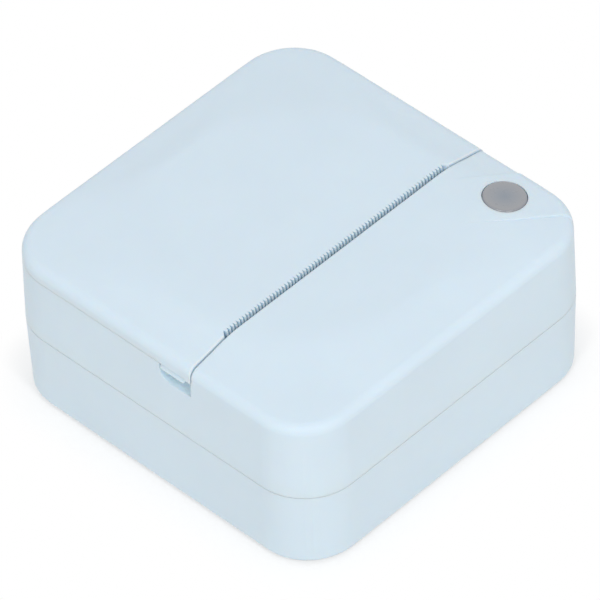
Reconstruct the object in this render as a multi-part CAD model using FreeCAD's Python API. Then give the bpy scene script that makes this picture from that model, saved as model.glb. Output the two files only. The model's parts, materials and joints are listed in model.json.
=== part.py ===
import FreeCAD, Part
import math
import os

from FreeCAD import Vector

# Pocket thermal printer. Millimetres, +Z up, the front at -Y and the button on the right at +X.
# The origin is at the middle of the plan, on the surface that the rubber feet stand on.

# Case
case_width = 82.4
case_depth = 82.4
case_height = 38.45  # underside to the flat disc in the middle of the top
corner_radius = 12.0
base_height = 17.85  # underside to parting line
wall_draft = 0.35  # lean of the upper wall from the parting line to the rim
crown_rise = 2.6  # rim to the flat disc
crown_run = 12.0  # wall to the flat disc in the middle of the top
crown_blend = 0.2  # share of the crown's run over which the disc bends into the slope
crown_shares = (0.0, 0.1, 0.2, 0.6, 1.0)  # where the crown's sections lie on its run
disc_straight = 0.15  # short straight sides that keep the disc a rounded square
rim_fillet = 2.2
wall = 1.8
floor_thickness = 1.8
base_taper = 0.45
base_edge = 0.8
parting_gap = 0.12
lip_height = 1.6
lip_thickness = 0.8
lip_clearance = 0.1
fit_clearance = 0.2
cut_over = 1.0  # how far a cut runs past the face that it opens
tolerance = 1e-4

# Feet and case screws
foot_proud = 0.6
foot_sunk = 0.6
foot_radius = 2.8
corner_post_inset = 6.6
corner_post_radius = 2.4
corner_web = 1.4
case_screw_radius = 0.85
case_screw_head_radius = 1.55
case_screw_head = 1.4
case_screw_seat = 8.0  # underside to the seat of the screw head
case_screw_length = 13.0
screw_head_clearance = 0.15

# Lid and its seam
panel_depth = 30.0  # front face to the seam
seam_gap = 0.3
lid_proud = 0.3
skirt_drop = 2.65  # rim to the lower edge of the lid
skirt_gap = 0.06
lid_rib_thickness = 1.4
lid_rib_drop = 2.6

# Paper path and tear edge
paper_offset = -0.25
slot_margin = 1.65
slot_gap = 0.8
tooth_pitch = 0.826
tooth_depth = 0.65
tooth_land = 0.38  # flat crest of a tooth
tooth_fall = 2.2  # height of the teeth below the top of the lid
tooth_lean = 0.14  # forward run of the teeth for each unit of their fall
slot_ramp = 1.2
slot_ramp_left = 1.0
panel_rib_thickness = 1.6
panel_rib_drop = 2.8

# Finger notch and nail lip
notch_length = 8.3
notch_drop = 3.85
notch_setback = 0.25
notch_depth = 3.0
notch_round = 2.7
notch_wall = 1.2
lip_setback = 1.95
lip_length = 6.5
lip_drop = 1.5
lip_face = 0.04
lip_groove = 0.8
lip_land = 0.2
lip_round = 0.6
lip_corner_drop = 0.4

# Hinge
hinge_inset = 1.7
hinge_drop = 6.5
ear_width = 12.0
ear_spacing = 40.0
ear_thickness = 2.6
ear_side_gap = 0.25
lug_width = 3.5
lug_radius = 2.0
hinge_pin_radius = 0.8
pin_clearance = 0.03
swing_clearance = 0.2

# Button, its pad and switch
button_from_right = 8.75
button_from_seam = 12.95
button_radius = 4.4
button_gap = 0.1
button_proud = 0.15
button_edge = 0.5
button_guide_drop = 2.45
button_guide_wall = 1.4
button_flange = 0.75
button_flange_thickness = 1.0
button_stem_radius = 2.0
button_stem = 0.7
button_travel = 0.4
pad_rise = 0.5
pad_front = 5.85  # button to the pad's flanks, at the height of the lid
pad_rear = 5.9
pad_flank = 0.25  # outward run of the pad's flanks for each unit of their fall
pad_angle = -34.5
pad_start = 0.05  # share of the crown's run where the pad starts to rise
pad_inset = 0.03
pad_reach = 18.0  # button to the left end of the band
switch_size = 6.2
switch_height = 3.3
plunger_radius = 1.7
plunger_show = 0.7
plunger_sunk = 0.5
button_board_thickness = 1.2
button_board_left = 6.9
button_board_right = 6.6
button_board_front = 4.2
button_board_rear = 7.4
button_post_radius = 1.3
button_post_x = 5.2
button_post_y = 5.6
light_width = 1.6
light_depth = 0.8
light_height = 0.7
light_offset = 4.2

# Paper well and deck
well_margin = 0.75
well_wall = 1.2
well_floor_gap = 0.3
well_front_gap = 1.85  # mechanism frame to the well
well_rear_room = 3.5
well_lip_height = 4.5  # above the axis of the roll
deck_drop = 2.8
deck_thickness = 1.6
deck_post_inset = 4.0
deck_post_radius = 2.4
deck_post_height = 9.0
deck_post_from_seam = 17.2
deck_post_from_back = 13.2
sensor_width = 4.0
sensor_height = 3.0
sensor_depth = 1.9

# Platen
platen_radius = 4.5
platen_drop = 4.2
platen_core_radius = 2.5
journal_radius = 1.5
rubber_margin = 0.5
bush_radius = 3.0
bush_flange = 0.6
bush_clearance = 0.05
notch_clearance = 0.1
cheek_thickness = 1.8
cheek_wall = 1.4
cheek_gap = 0.4
carrier_plate = 1.6
carrier_drop = 2.7
carrier_depth = 9.6
carrier_screw_spacing = 25.0
carrier_post_radius = 2.0

# Gears
gear_module = 0.5
pressure_angle = 20.0
addendum_share = 0.8
dedendum_share = 1.1
gear_backlash = 0.12
platen_teeth = 20
idler_teeth = 28
reduction_small_teeth = 14
reduction_large_teeth = 32
pinion_teeth = 14
inner_gear_width = 2.0
outer_gear_width = 3.0
gear_side_gap = 0.3
gear_layer_gap = 0.2
gear_room = 2.9  # stud caps to the right wall
stud_radius = 1.2
stud_clearance = 0.05
stud_over = 0.5
stud_cap_radius = 1.9
stud_cap = 0.6
reduction_from_seam = 3.3
reduction_height = 12.5

# Print head
paper_thickness = 0.08
ceramic_thickness = 0.8
ceramic_height = 10.0
ceramic_over = 2.2
heat_sink_thickness = 2.0
heat_sink_top = 2.9
head_floor_room = 8.3  # frame's feet to the heat sink
head_end_gap = 0.3
lug_block_width = 3.0
lug_block_depth = 1.4
lug_block_height = 4.0
pivot_radius = 1.0
driver_cover_height = 2.8
driver_cover_depth = 1.1
driver_cover_width = 50.0
head_connector_height = 2.6
head_connector_depth = 2.2
head_connector_over = 2.5  # at each side of the ribbon

# Mechanism frame
sheet = 1.0
frame_foot_height = 1.6
frame_rear_gap = 4.3
spring_room = 3.6
frame_cheek_rise = 2.0
frame_plate_drop = 6.6  # axis of the platen to the top of the back plate
frame_foot_width = 4.6
frame_foot_length = 8.0
frame_foot_front = 1.6
frame_boss_radius = 2.2
small_screw_radius = 0.8
small_screw_head_radius = 1.5
small_screw_head = 1.0
small_screw_length = 3.0
spring_thickness = 0.3
spring_width = 5.0
spring_base_height = 6.0
spring_spacing = 32.0
spring_reach = 9.0
spring_bend = 1.2
spring_pad = 2.4  # length of a finger's tip that lies along the heat sink
spring_tip_drop = 1.2
spring_touch = 0.05

# Motor
motor_radius = 7.5
motor_length = 11.0
motor_flange = 0.8
motor_ear_radius = 1.9
motor_ear_reach = 8.6
motor_ear_angle = 120.0
motor_shaft_radius = 0.75
motor_boss_radius = 2.5
motor_plug_width = 4.0
motor_plug_depth = 2.0
motor_plug_height = 5.0

# Battery and main board
battery_headroom = 5.65  # for the leads that loop over the cell
battery_thickness = 8.0
battery_edge = 2.0
battery_lift = 1.2
battery_from_left = 7.2  # left face to the cell, with the charge lead between
battery_motor_gap = 6.15
tape_thickness = 0.4
tape_length = 36.0
tape_height = 16.0
board_thickness = 1.2
board_motor_gap = 4.95
board_height = 27.0
board_room = 4.2
board_from_cell = 4.2
board_lift = 1.0
guide_height = 6.0
guide_wall = 1.2
guide_reach = 1.0
connector_depth = 3.0
# Components on the board: place as a share of its length, place up it, width, height and depth
processor = (0.12, 11.0, 9.0, 9.0, 1.4)
memory = (0.42, 4.0, 6.0, 6.0, 1.0)
motor_driver = (0.63, 4.0, 5.0, 4.0, 1.2)
coil = (0.42, 13.0, 4.0, 4.0, 2.4)
radio = (0.58, 14.0, 14.0, 11.0, 2.0)
battery_plug_z = 20.0  # lower edge of the board to the plug
battery_plug_height = 3.0
battery_plug_width = 4.8
battery_lead_from_left = 15.0
lead_radius = 0.5
lead_pitch = 1.6
motor_lead_width = 3.8
motor_lead_bend = 0.6
ribbon_thickness = 0.3
ribbon_side_gap = 0.35  # ribbon to the rib under the cell
ribbon_bend = 2.0
ribbon_floor_gap = 0.1

# Charge board at the back
socket_width = 8.9
socket_height = 3.2
socket_length = 7.4
socket_wall = 0.4
socket_back = 0.8
tongue_width = 6.0
tongue_thickness = 0.8
socket_x = -12.0
socket_recess = 0.4
socket_hole_gap = 0.3
charge_board_thickness = 1.2
charge_board_lift = 1.0
charge_board_left = 12.5
charge_board_right = 8.5
charge_front_gap = 0.4  # well to the plug
charge_board_rear_gap = 0.5
charge_post_radius = 1.8
charge_lead_radius = 0.6
charge_lead_bend = 3.0
charge_plug_size = 2.6
charge_plug_height = 2.0

# What fits in the case: the paper beside its gears, and the well behind the panel and mechanism
gear_stack = cheek_gap + sheet + gear_side_gap + inner_gear_width + gear_layer_gap + outer_gear_width
stud_end = stud_over / 2 + stud_cap
paper_half = case_width / 2 - wall - gear_room - stud_end - gear_stack - rubber_margin - paper_offset
paper_width = 2 * paper_half
mechanism_depth = slot_gap / 2 + platen_radius + frame_rear_gap
hinge_depth = fit_clearance + lug_radius + hinge_inset + wall_draft
well_depth = case_depth - panel_depth - mechanism_depth - well_front_gap - well_rear_room - hinge_depth
well_outer = well_depth / 2
well_radius = well_outer - well_wall
wall_height = case_height - base_height - crown_rise

# Faces and levels that the pieces share
left = -case_width / 2
right = case_width / 2
front = -case_depth / 2
back = case_depth / 2
base_z = foot_proud
floor_z = base_z + floor_thickness
parting_z = base_z + base_height
rim_z = parting_z + wall_height
top_z = rim_z + crown_rise
skirt_z = rim_z - skirt_drop
wall_top = skirt_z - skirt_gap
above = top_z + lid_proud + cut_over
seam_y = front + panel_depth
lid_front = seam_y + seam_gap
shell_bottom = parting_z + parting_gap / 2
base_top = parting_z - parting_gap / 2

# Paper path
slot_length = paper_width + 2 * slot_margin
slot_left = paper_offset - slot_length / 2
slot_right = paper_offset + slot_length / 2
tooth_count = round(slot_length / tooth_pitch)
tooth_crest = seam_y + slot_gap
tooth_root = tooth_crest + tooth_depth
paper_y = seam_y + slot_gap / 2
platen_y = paper_y + platen_radius
platen_z = skirt_z - platen_drop
rubber_left = paper_offset - paper_width / 2 - rubber_margin
rubber_right = paper_offset + paper_width / 2 + rubber_margin

# Hinge axis, and the rear wall's height that the lid's edge swings over
rear_face = back - wall_draft
hinge_y = rear_face - hinge_inset
hinge_z = skirt_z - hinge_drop
rear_wall_top = hinge_z + math.sqrt((hinge_drop - swing_clearance) ** 2 - hinge_inset ** 2)

# Frame plates, from the inside outwards: plate, lid cheek, gears
plate_left = rubber_left - cheek_gap
plate_right = rubber_right + cheek_gap
cheek_left = plate_left - sheet - cheek_gap
cheek_right = plate_right + sheet + cheek_gap
inner_gear_x = plate_right + sheet + gear_side_gap
outer_gear_x = inner_gear_x + inner_gear_width + gear_layer_gap
gear_end = outer_gear_x + outer_gear_width
frame_z = floor_z + frame_foot_height
frame_rear = platen_y + frame_rear_gap
frame_shoulder = platen_z - frame_plate_drop

# Print head
head_face = paper_y - paper_thickness
sink_front = head_face - ceramic_thickness
sink_back = sink_front - heat_sink_thickness
sink_top = platen_z + heat_sink_top
sink_bottom = frame_z + head_floor_room
head_left = plate_left + head_end_gap
head_right = plate_right - head_end_gap
pivot_y = sink_back + heat_sink_thickness / 2
pivot_z = sink_bottom + lug_block_height / 2
frame_back = sink_back - spring_room
frame_front = frame_back - sheet

# Button
button_x = right - button_from_right
button_y = seam_y - button_from_seam
guide_z = rim_z - button_guide_drop
flange_z = guide_z - button_flange_thickness
plunger_top = flange_z - button_stem
switch_top = plunger_top - plunger_show
button_board_z = switch_top - switch_height

# Deck and well
deck_z = skirt_z - deck_drop
deck_bottom = deck_z - deck_thickness
deck_back = hinge_y - lug_radius - fit_clearance
well_y = deck_back - well_rear_room - well_outer
well_z = floor_z + well_floor_gap + well_outer
well_left = paper_offset - paper_width / 2 - well_margin
well_right = paper_offset + paper_width / 2 + well_margin
well_front = well_y - well_outer
well_lip_z = well_z + well_lip_height

# Battery and boards, from the frame forwards
tape_front = frame_front - tape_thickness
battery_front = tape_front - battery_thickness
motor_left = plate_right - motor_length
battery_left = left + battery_from_left
battery_right = motor_left - battery_motor_gap
battery_z = floor_z + battery_lift
battery_top = top_z - wall - battery_headroom
battery_lead_x = battery_left + battery_lead_from_left
board_back = battery_front - board_room
board_front = board_back - board_thickness
board_left = battery_left + board_from_cell
board_right = motor_left - board_motor_gap
board_length = board_right - board_left
board_z = floor_z + board_lift
ribbon_width = 2 * (battery_right - 2 * guide_wall - ribbon_side_gap - paper_offset)
head_connector_width = ribbon_width + 2 * head_connector_over
charge_z = floor_z + charge_board_lift
charge_top = charge_z + charge_board_thickness
charge_rear = back - wall - base_taper - charge_board_rear_gap
plug_top = charge_top + charge_plug_height
charge_front = well_y + math.sqrt(well_outer ** 2 - (well_z - plug_top) ** 2) + charge_front_gap


def box(x0, x1, y0, y1, z0, z1):
    return Part.makeBox(x1 - x0, y1 - y0, z1 - z0, Vector(x0, y0, z0))


def post(radius, x, y, z0, z1):
    return Part.makeCylinder(radius, z1 - z0, Vector(x, y, z0))


def rod(radius, x0, x1, y, z):
    return Part.makeCylinder(radius, x1 - x0, Vector(x0, y, z), Vector(1, 0, 0))


def prism_x(outline, x0, x1):
    corners = [Vector(x0, y, z) for y, z in outline]
    face = Part.Face(Part.makePolygon(corners + corners[:1]))
    return face.extrude(Vector(x1 - x0, 0, 0))


def prism_y(outline, y0, y1):
    corners = [Vector(x, y0, z) for x, z in outline]
    face = Part.Face(Part.makePolygon(corners + corners[:1]))
    return face.extrude(Vector(0, y1 - y0, 0))


def prism_z(outline, z0, z1):
    corners = [Vector(x, y, z0) for x, y in outline]
    face = Part.Face(Part.makePolygon(corners + corners[:1]))
    return face.extrude(Vector(0, 0, z1 - z0))


def fused(first, *others):
    return first.multiFuse(others).removeSplitter()


def one_solid(shape):
    return shape.Solids[0]


def rounded_rectangle(half_x, half_y, radius, z):
    diagonal = radius * math.sqrt(0.5)
    corners = [(1, 1), (-1, 1), (-1, -1), (1, -1)]
    arcs = []
    for index, (sx, sy) in enumerate(corners):
        centre = Vector(sx * (half_x - radius), sy * (half_y - radius), z)
        across = Vector(sx * radius, 0, 0)
        along = Vector(0, sy * radius, 0)
        start, end = (across, along) if index % 2 == 0 else (along, across)
        middle = Vector(sx * diagonal, sy * diagonal, 0)
        arcs.append((centre + start, centre + middle, centre + end))
    edges = []
    for index, (start, middle, end) in enumerate(arcs):
        edges.append(Part.Arc(start, middle, end).toShape())
        edges.append(Part.makeLine(end, arcs[(index + 1) % len(arcs)][0]))
    return Part.Wire(edges)


def plan(inset, z):
    return rounded_rectangle(right - inset, back - inset, corner_radius - inset, z)


def column(inset, z0, z1):
    return Part.Face(plan(inset, z0)).extrude(Vector(0, 0, z1 - z0))


def flat_edges(shape, z):
    return [
        edge
        for edge in shape.Edges
        if abs(edge.BoundBox.ZMin - z) < tolerance and abs(edge.BoundBox.ZMax - z) < tolerance
    ]


def lean(z):
    # How far the upper wall has leaned in at a height.
    return wall_draft * (z - parting_z) / wall_height


def crown_fall(share):
    # Share of the crown's fall: a bend out of the flat disc, then a straight slope.
    bend = share ** 2 / (2 * crown_blend) if share < crown_blend else share - crown_blend / 2
    return bend / (1 - crown_blend / 2)


def flat_edges_along_x(shape, z):
    return [edge for edge in flat_edges(shape, z) if edge.BoundBox.YLength < tolerance]


def crown_section(share, rim_inset, z):
    # The crown runs from the flat disc to the rim through rounded squares that grow less round.
    disc_x = right - crown_run
    disc_y = back - crown_run
    disc_corner = min(disc_x, disc_y) - disc_straight
    return rounded_rectangle(
        disc_x + (right - rim_inset - disc_x) * share,
        disc_y + (back - rim_inset - disc_y) * share,
        disc_corner + (corner_radius - rim_inset - disc_corner) * share,
        z,
    )


def case_block(inset, lift, bottom, rim_lift=0.0):
    low = rim_z + lift + rim_lift
    rim_inset = inset + lean(low)
    high = top_z + lift
    sections = [
        crown_section(share, rim_inset, high - (high - low) * crown_fall(share)) for share in crown_shares
    ]
    crown = Part.makeLoft(sections, True, False)
    sides = Part.makeLoft([plan(inset + lean(bottom), bottom), plan(rim_inset, low)], True, True)
    return one_solid(fused(sides, crown))


def outer_block(inset, lift, bottom, rim_lift=0.0):
    block = case_block(inset, lift, bottom, rim_lift)
    return one_solid(block.makeFillet(rim_fillet, flat_edges(block, rim_z + lift + rim_lift)))


def corner_places():
    x = right - corner_post_inset
    y = back - corner_post_inset
    return [(sx * x, sy * y) for sx in (-1, 1) for sy in (-1, 1)]


def corner_post(x, y, z0, z1):
    # A post with a web that ties it to the rounded corner of the wall.
    angle = math.degrees(math.atan2(y, x))
    reach = corner_post_inset * math.sqrt(2)
    web = Part.makeBox(reach, corner_web, z1 - z0, Vector(0, -corner_web / 2, 0))
    web.rotate(Vector(0, 0, 0), Vector(0, 0, 1), angle)
    web.translate(Vector(x, y, z0))
    return [post(corner_post_radius, x, y, z0, z1), web]


def base_shell():
    outer = Part.makeLoft([plan(base_taper, base_z), plan(0.0, base_top)], True, True)
    outer = outer.makeFillet(base_edge, flat_edges(outer, base_z))
    cavity = Part.makeLoft([plan(wall + base_taper, floor_z), plan(wall, base_top)], True, True)
    lip = column(wall - lip_thickness, base_top, parting_z + lip_height)
    lip = lip.cut(column(wall, base_top, parting_z + lip_height))
    shell = outer.cut(cavity)

    inside = outer.fuse(column(wall - lip_thickness, base_top, shell_bottom))
    posts = []
    for x, y in corner_places():
        posts += corner_post(x, y, floor_z, shell_bottom)
    for x, y in frame_screw_places():
        posts.append(post(frame_boss_radius, x, y, floor_z, frame_z))
    for x, y in charge_screw_places():
        posts.append(post(charge_post_radius, x, y, floor_z, charge_z))
    for x in (battery_left + guide_wall, battery_right - 2 * guide_wall):
        posts.append(box(x, x + guide_wall, battery_front, tape_front, floor_z, battery_z))
    posts.append(card_guide(board_left - guide_wall, board_left + guide_reach))
    posts.append(card_guide(board_right - guide_reach, board_right + guide_wall))
    shell = shell.fuse(lip).multiFuse([piece.common(inside) for piece in posts])

    cuts = []
    for x, y in corner_places():
        seat = base_z + case_screw_seat
        head = case_screw_head_radius + screw_head_clearance
        cuts.append(post(foot_radius + screw_head_clearance, x, y, base_z - cut_over, base_z + foot_sunk))
        cuts.append(post(head, x, y, base_z, seat))
        cuts.append(post(case_screw_radius, x, y, seat, above))
    for x, y in frame_screw_places():
        cuts.append(post(small_screw_radius, x, y, frame_z - small_screw_length, frame_z))
    for x, y in charge_screw_places():
        cuts.append(post(small_screw_radius, x, y, charge_top - small_screw_length, charge_z))
    cuts.append(socket_outline(socket_hole_gap, charge_rear - socket_length, back + cut_over))
    return one_solid(shell.cut(Part.makeCompound(cuts)).removeSplitter())


def card_guide(x0, x1):
    y0 = board_front - guide_wall
    y1 = board_back + guide_wall
    guide = box(x0, x1, y0, y1, floor_z, board_z + guide_height)
    slot = box(board_left, board_right, board_front, board_back, board_z, above)
    return guide.cut(slot)


def rubber_feet():
    return [post(foot_radius, x, y, 0.0, base_z + foot_sunk) for x, y in corner_places()]


def screw_up(x, y, seat):
    shank = post(small_screw_radius, x, y, seat, seat + small_screw_length)
    return one_solid(fused(shank, post(small_screw_head_radius, x, y, seat - small_screw_head, seat)))


def screw_down(x, y, seat):
    shank = post(small_screw_radius, x, y, seat - small_screw_length, seat)
    return one_solid(fused(shank, post(small_screw_head_radius, x, y, seat, seat + small_screw_head)))


def case_screws():
    seat = base_z + case_screw_seat
    screws = []
    for x, y in corner_places():
        shank = post(case_screw_radius, x, y, seat, seat + case_screw_length)
        head = post(case_screw_head_radius, x, y, seat - case_screw_head, seat)
        screws.append(one_solid(fused(shank, head)))
    return screws


def button_pad():
    # A band of the front panel that falls less than the crown around it, from the disc out to the rim.
    raised = outer_block(pad_inset, 0.0, parting_z, pad_rise)
    run = pad_flank * (above - parting_z)
    foot = [(-pad_front - run, parting_z), (pad_rear + run, parting_z)]
    flanks = foot + [(pad_rear, above), (-pad_front, above)]
    band = prism_x(flanks, -case_width, case_width)
    band.rotate(Vector(0, 0, 0), Vector(0, 0, 1), pad_angle)
    band.translate(Vector(button_x, button_y, 0))
    disc = Part.Face(crown_section(pad_start, 0.0, parting_z)).extrude(Vector(0, 0, above - parting_z))
    return raised.common(band.cut(disc)).common(box(button_x - pad_reach, right, front, seam_y, 0, above))


def deck_screw_places():
    x = right - deck_post_inset
    places = (seam_y + deck_post_from_seam, back - deck_post_from_back)
    return [(sx * x, y) for sx in (-1, 1) for y in places]


def button_screw_places():
    return [(button_x + sx * button_post_x, button_y + button_post_y) for sx in (-1, 1)]


def hinge_ears():
    return [side * ear_spacing / 2 for side in (-1, 1)]


def finger_notch(grow):
    # The notch behind the seam on the left side, rounded at its rear lower corner.
    y0 = seam_y + notch_setback - grow
    y1 = seam_y + notch_setback + notch_length + grow
    z0 = skirt_z - notch_drop - grow
    x1 = left + notch_depth + grow
    notch = box(left - cut_over, x1, y0, y1, z0, above)
    rounded = [edge for edge in notch.Edges if abs(edge.CenterOfMass.y - y1) < tolerance]
    rounded = [edge for edge in rounded if abs(edge.CenterOfMass.z - z0) < tolerance]
    return notch.makeFillet(notch_round + grow, rounded)


def upper_shell():
    outer = one_solid(fused(outer_block(0.0, 0.0, shell_bottom), button_pad()))
    cavity = case_block(wall, -wall, parting_z - cut_over)
    shell = outer.cut(cavity)
    rib_z = top_z - wall - panel_rib_drop
    added = [box(slot_left, slot_right, seam_y - panel_rib_thickness, seam_y, rib_z, top_z - wall / 2)]
    for x, y in corner_places():
        added += corner_post(x, y, shell_bottom, deck_bottom)
    for x, y in deck_screw_places():
        z0 = deck_bottom - deck_post_height
        added.append(post(deck_post_radius, x, y, z0, deck_bottom))
        wall_x = math.copysign(right - wall / 2, x)
        added.append(box(min(x, wall_x), max(x, wall_x), y - wall / 2, y + wall / 2, z0, deck_bottom))
    for x, y in button_screw_places():
        added.append(post(button_post_radius, x, y, button_board_z, top_z))
    guide = button_radius + button_gap + button_guide_wall
    added.append(post(guide, button_x, button_y, guide_z, top_z))
    for x in hinge_ears():
        for side in (-1, 1):
            inner = x + side * (ear_width / 2 + ear_side_gap)
            outer_x = inner + side * lug_width
            x0, x1 = min(inner, outer_x), max(inner, outer_x)
            z0, z1 = hinge_z - lug_radius, hinge_z + lug_radius
            added.append(box(x0, x1, hinge_y - lug_radius, back, z0, z1))
    added.append(finger_notch(notch_wall).common(box(left, 0, front, back, 0, wall_top)))
    shell = shell.multiFuse([piece.common(outer) for piece in added])
    lid_room = box(left - cut_over, right + cut_over, seam_y, back + cut_over, wall_top, above)
    shell = shell.cut(lid_room)

    rebate_top = parting_z + lip_height + lip_clearance
    rebate = column(wall - lip_thickness - lip_clearance, parting_z, rebate_top)
    cuts = [rebate.cut(column(wall + lip_clearance, parting_z, rebate_top))]
    cuts.append(box(left, right, hinge_y - hinge_inset, back + cut_over, rear_wall_top, above))
    cuts.append(finger_notch(0.0))
    cuts.append(post(button_radius + button_gap, button_x, button_y, parting_z, above))
    for x in hinge_ears():
        half = ear_width / 2 + ear_side_gap
        low = hinge_z - hinge_inset - fit_clearance
        cuts.append(box(x - half, x + half, hinge_y - lug_radius, back + cut_over, low, above))
        reach = ear_width / 2 + ear_side_gap + lug_width
        cuts.append(rod(hinge_pin_radius, x - reach, x + reach, hinge_y, hinge_z))
    screw_end = base_z + case_screw_seat + case_screw_length
    for x, y in corner_places():
        cuts.append(post(case_screw_radius, x, y, parting_z, screw_end))
    for x, y in deck_screw_places():
        cuts.append(post(small_screw_radius, x, y, deck_z - small_screw_length, deck_z))
    for x, y in button_screw_places():
        seat = button_board_z - button_board_thickness
        cuts.append(post(small_screw_radius, x, y, seat, seat + small_screw_length))
    shell = shell.cut(Part.makeCompound(cuts))
    return one_solid(shell.removeSplitter())


def tear_cut():
    # The paper slot: the lid's edge steps back to a row of leaning teeth, with a ramp at each end.
    pitch = slot_length / tooth_count
    half = tooth_land / 2
    lid_top = top_z + lid_proud
    start = tooth_lean * (above - lid_top)
    outline = [(slot_left - slot_ramp_left, seam_y - cut_over), (slot_left - slot_ramp_left, lid_front)]
    outline.append((slot_left, tooth_root))
    for tooth in range(tooth_count):
        middle = slot_left + (tooth + 0.5) * pitch
        outline.append((middle - half, tooth_crest))
        outline.append((middle + half, tooth_crest))
        outline.append((middle + pitch / 2, tooth_root))
    outline.append((slot_right + slot_ramp, lid_front))
    outline.append((slot_right + slot_ramp, seam_y - cut_over))
    corners = [Vector(x, y + start, above) for x, y in outline]
    face = Part.Face(Part.makePolygon(corners + corners[:1]))
    fall = above - lid_top + tooth_fall
    teeth = face.extrude(Vector(0, -tooth_lean * fall, -fall))
    low_front = tooth_crest - tooth_lean * tooth_fall
    slot = box(slot_left - slot_ramp_left, slot_right + slot_ramp, seam_y - cut_over, low_front,
               skirt_z - hinge_drop, lid_top - tooth_fall)
    return teeth.fuse(slot)


def carrier_screw_places():
    y = platen_y + platen_radius + small_screw_head_radius + fit_clearance
    return [(paper_offset + step * carrier_screw_spacing, y) for step in (-1, 0, 1)]


def nail_lip():
    # The grip under the lid's left edge: a groove that slopes out to a lip with round lower corners.
    wall_x = left + lean(skirt_z)
    y0 = seam_y + lip_setback
    y1 = y0 + lip_length
    bottom = skirt_z - lip_drop
    root = skirt_z + wall / 2
    profile = [
        (wall_x + wall, root),
        (wall_x + lip_groove, root),
        (wall_x + lip_groove, skirt_z),
        (wall_x + lip_face, bottom + lip_land),
        (wall_x + lip_face, bottom),
        (wall_x + wall, bottom),
    ]
    ends = box(left - cut_over, left + 2 * wall, y0, y1, bottom, above)
    return prism_y(profile, y0, y1).common(ends.makeFillet(lip_round, flat_edges_along_x(ends, bottom)))


def lid_cover():
    outer = outer_block(0.0, lid_proud, skirt_z)
    cavity = case_block(wall, lid_proud - wall, skirt_z - cut_over)
    keep = box(left - cut_over, right + cut_over, lid_front, back + cut_over, skirt_z, above)
    shell = outer.cut(cavity).common(keep)

    roof = top_z + lid_proud - wall
    rib_back = tooth_root + lid_rib_thickness
    added = [box(slot_left - slot_ramp_left, slot_right + slot_ramp, lid_front, rib_back,
                 roof - lid_rib_drop, roof + wall / 2)]
    plate_z = roof - carrier_drop + carrier_plate
    for x, y in carrier_screw_places():
        added.append(post(carrier_post_radius, x, y, plate_z, roof + wall / 2))
    for x in hinge_ears():
        x0 = x - ear_width / 2
        x1 = x + ear_width / 2
        added.append(rod(hinge_inset, x0, x1, hinge_y, hinge_z))
        added.append(box(x0, x1, rear_face - ear_thickness, rear_face, hinge_z, skirt_z + wall))
    added.append(nail_lip())
    wall_x = left + lean(skirt_z)
    added.append(box(wall_x, wall_x + wall, lid_front, seam_y + lip_setback,
                     skirt_z - lip_corner_drop, skirt_z + wall / 2))
    shell = shell.multiFuse(added)

    cuts = [tear_cut()]
    bore = hinge_pin_radius + pin_clearance
    for x in hinge_ears():
        cuts.append(rod(bore, x - ear_width, x + ear_width, hinge_y, hinge_z))
    for x, y in carrier_screw_places():
        seat = plate_z - carrier_plate
        cuts.append(post(small_screw_radius, x, y, seat, seat + small_screw_length))
    return one_solid(shell.cut(Part.makeCompound(cuts)).removeSplitter())


def hinge_pins():
    reach = ear_width / 2 + ear_side_gap + lug_width
    return [rod(hinge_pin_radius, x - reach, x + reach, hinge_y, hinge_z) for x in hinge_ears()]


def button_cap():
    body = post(button_radius, button_x, button_y, guide_z, above)
    body = body.common(case_block(0.0, button_proud, parting_z, pad_rise))
    crest = max(body.Edges, key=lambda edge: edge.BoundBox.ZMin)
    body = body.makeFillet(button_edge, [crest])
    flange = post(button_radius + button_flange, button_x, button_y, flange_z, guide_z)
    stem = post(button_stem_radius, button_x, button_y, plunger_top, flange_z)
    return one_solid(fused(body, flange, stem))


def switch_plunger():
    return post(plunger_radius, button_x, button_y, switch_top - plunger_sunk, plunger_top)


def tact_switch():
    half = switch_size / 2
    x, y = button_x, button_y
    body = box(x - half, x + half, y - half, y + half, button_board_z, switch_top)
    depth = plunger_sunk + button_travel + fit_clearance
    return body.cut(post(plunger_radius + bush_clearance, x, y, switch_top - depth, switch_top))


def button_board():
    board = box(button_x - button_board_left, button_x + button_board_right,
                button_y - button_board_front, button_y + button_board_rear,
                button_board_z - button_board_thickness, button_board_z)
    for x, y in button_screw_places():
        board = board.cut(post(small_screw_radius, x, y, 0, above))
    return board


def button_screws():
    seat = button_board_z - button_board_thickness
    return [screw_up(x, y, seat) for x, y in button_screw_places()]


def status_light():
    x = button_x - light_offset
    half = light_depth / 2
    return box(x - light_width / 2, x + light_width / 2, button_y - half, button_y + half,
               button_board_z, button_board_z + light_height)


def trough(radius, x0, x1, z1):
    barrel = rod(radius, x0, x1, well_y, well_z)
    return barrel.fuse(box(x0, x1, well_y - radius, well_y + radius, well_z, z1))


def paper_well():
    inset = wall + lean(deck_z) + fit_clearance
    deck = column(inset, deck_bottom, deck_z)
    deck = deck.common(box(left, right, well_front, deck_back, 0, above))
    arm_left = gear_end + stud_over + stud_cap + fit_clearance
    arm = column(inset, deck_bottom, deck_z)
    arm = arm.common(box(arm_left, right, lid_front, well_front, 0, above))
    body = trough(well_outer, well_left - well_wall, well_right + well_wall, deck_z)
    lid_inside = case_block(wall + fit_clearance, lid_proud - wall - fit_clearance, base_z)
    body = fused(deck, arm, body.common(lid_inside))
    body = body.cut(trough(well_radius, well_left, well_right, above))
    mouth = box(well_left, well_right, well_front - cut_over, well_y, well_lip_z, above)
    lip = rod(well_wall / 2, well_left, well_right, well_front + well_wall / 2, well_lip_z)
    body = fused(body.cut(mouth), lip)
    for x, y in deck_screw_places():
        body = body.cut(post(small_screw_radius, x, y, 0, above))
    return one_solid(body.removeSplitter())


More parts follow.
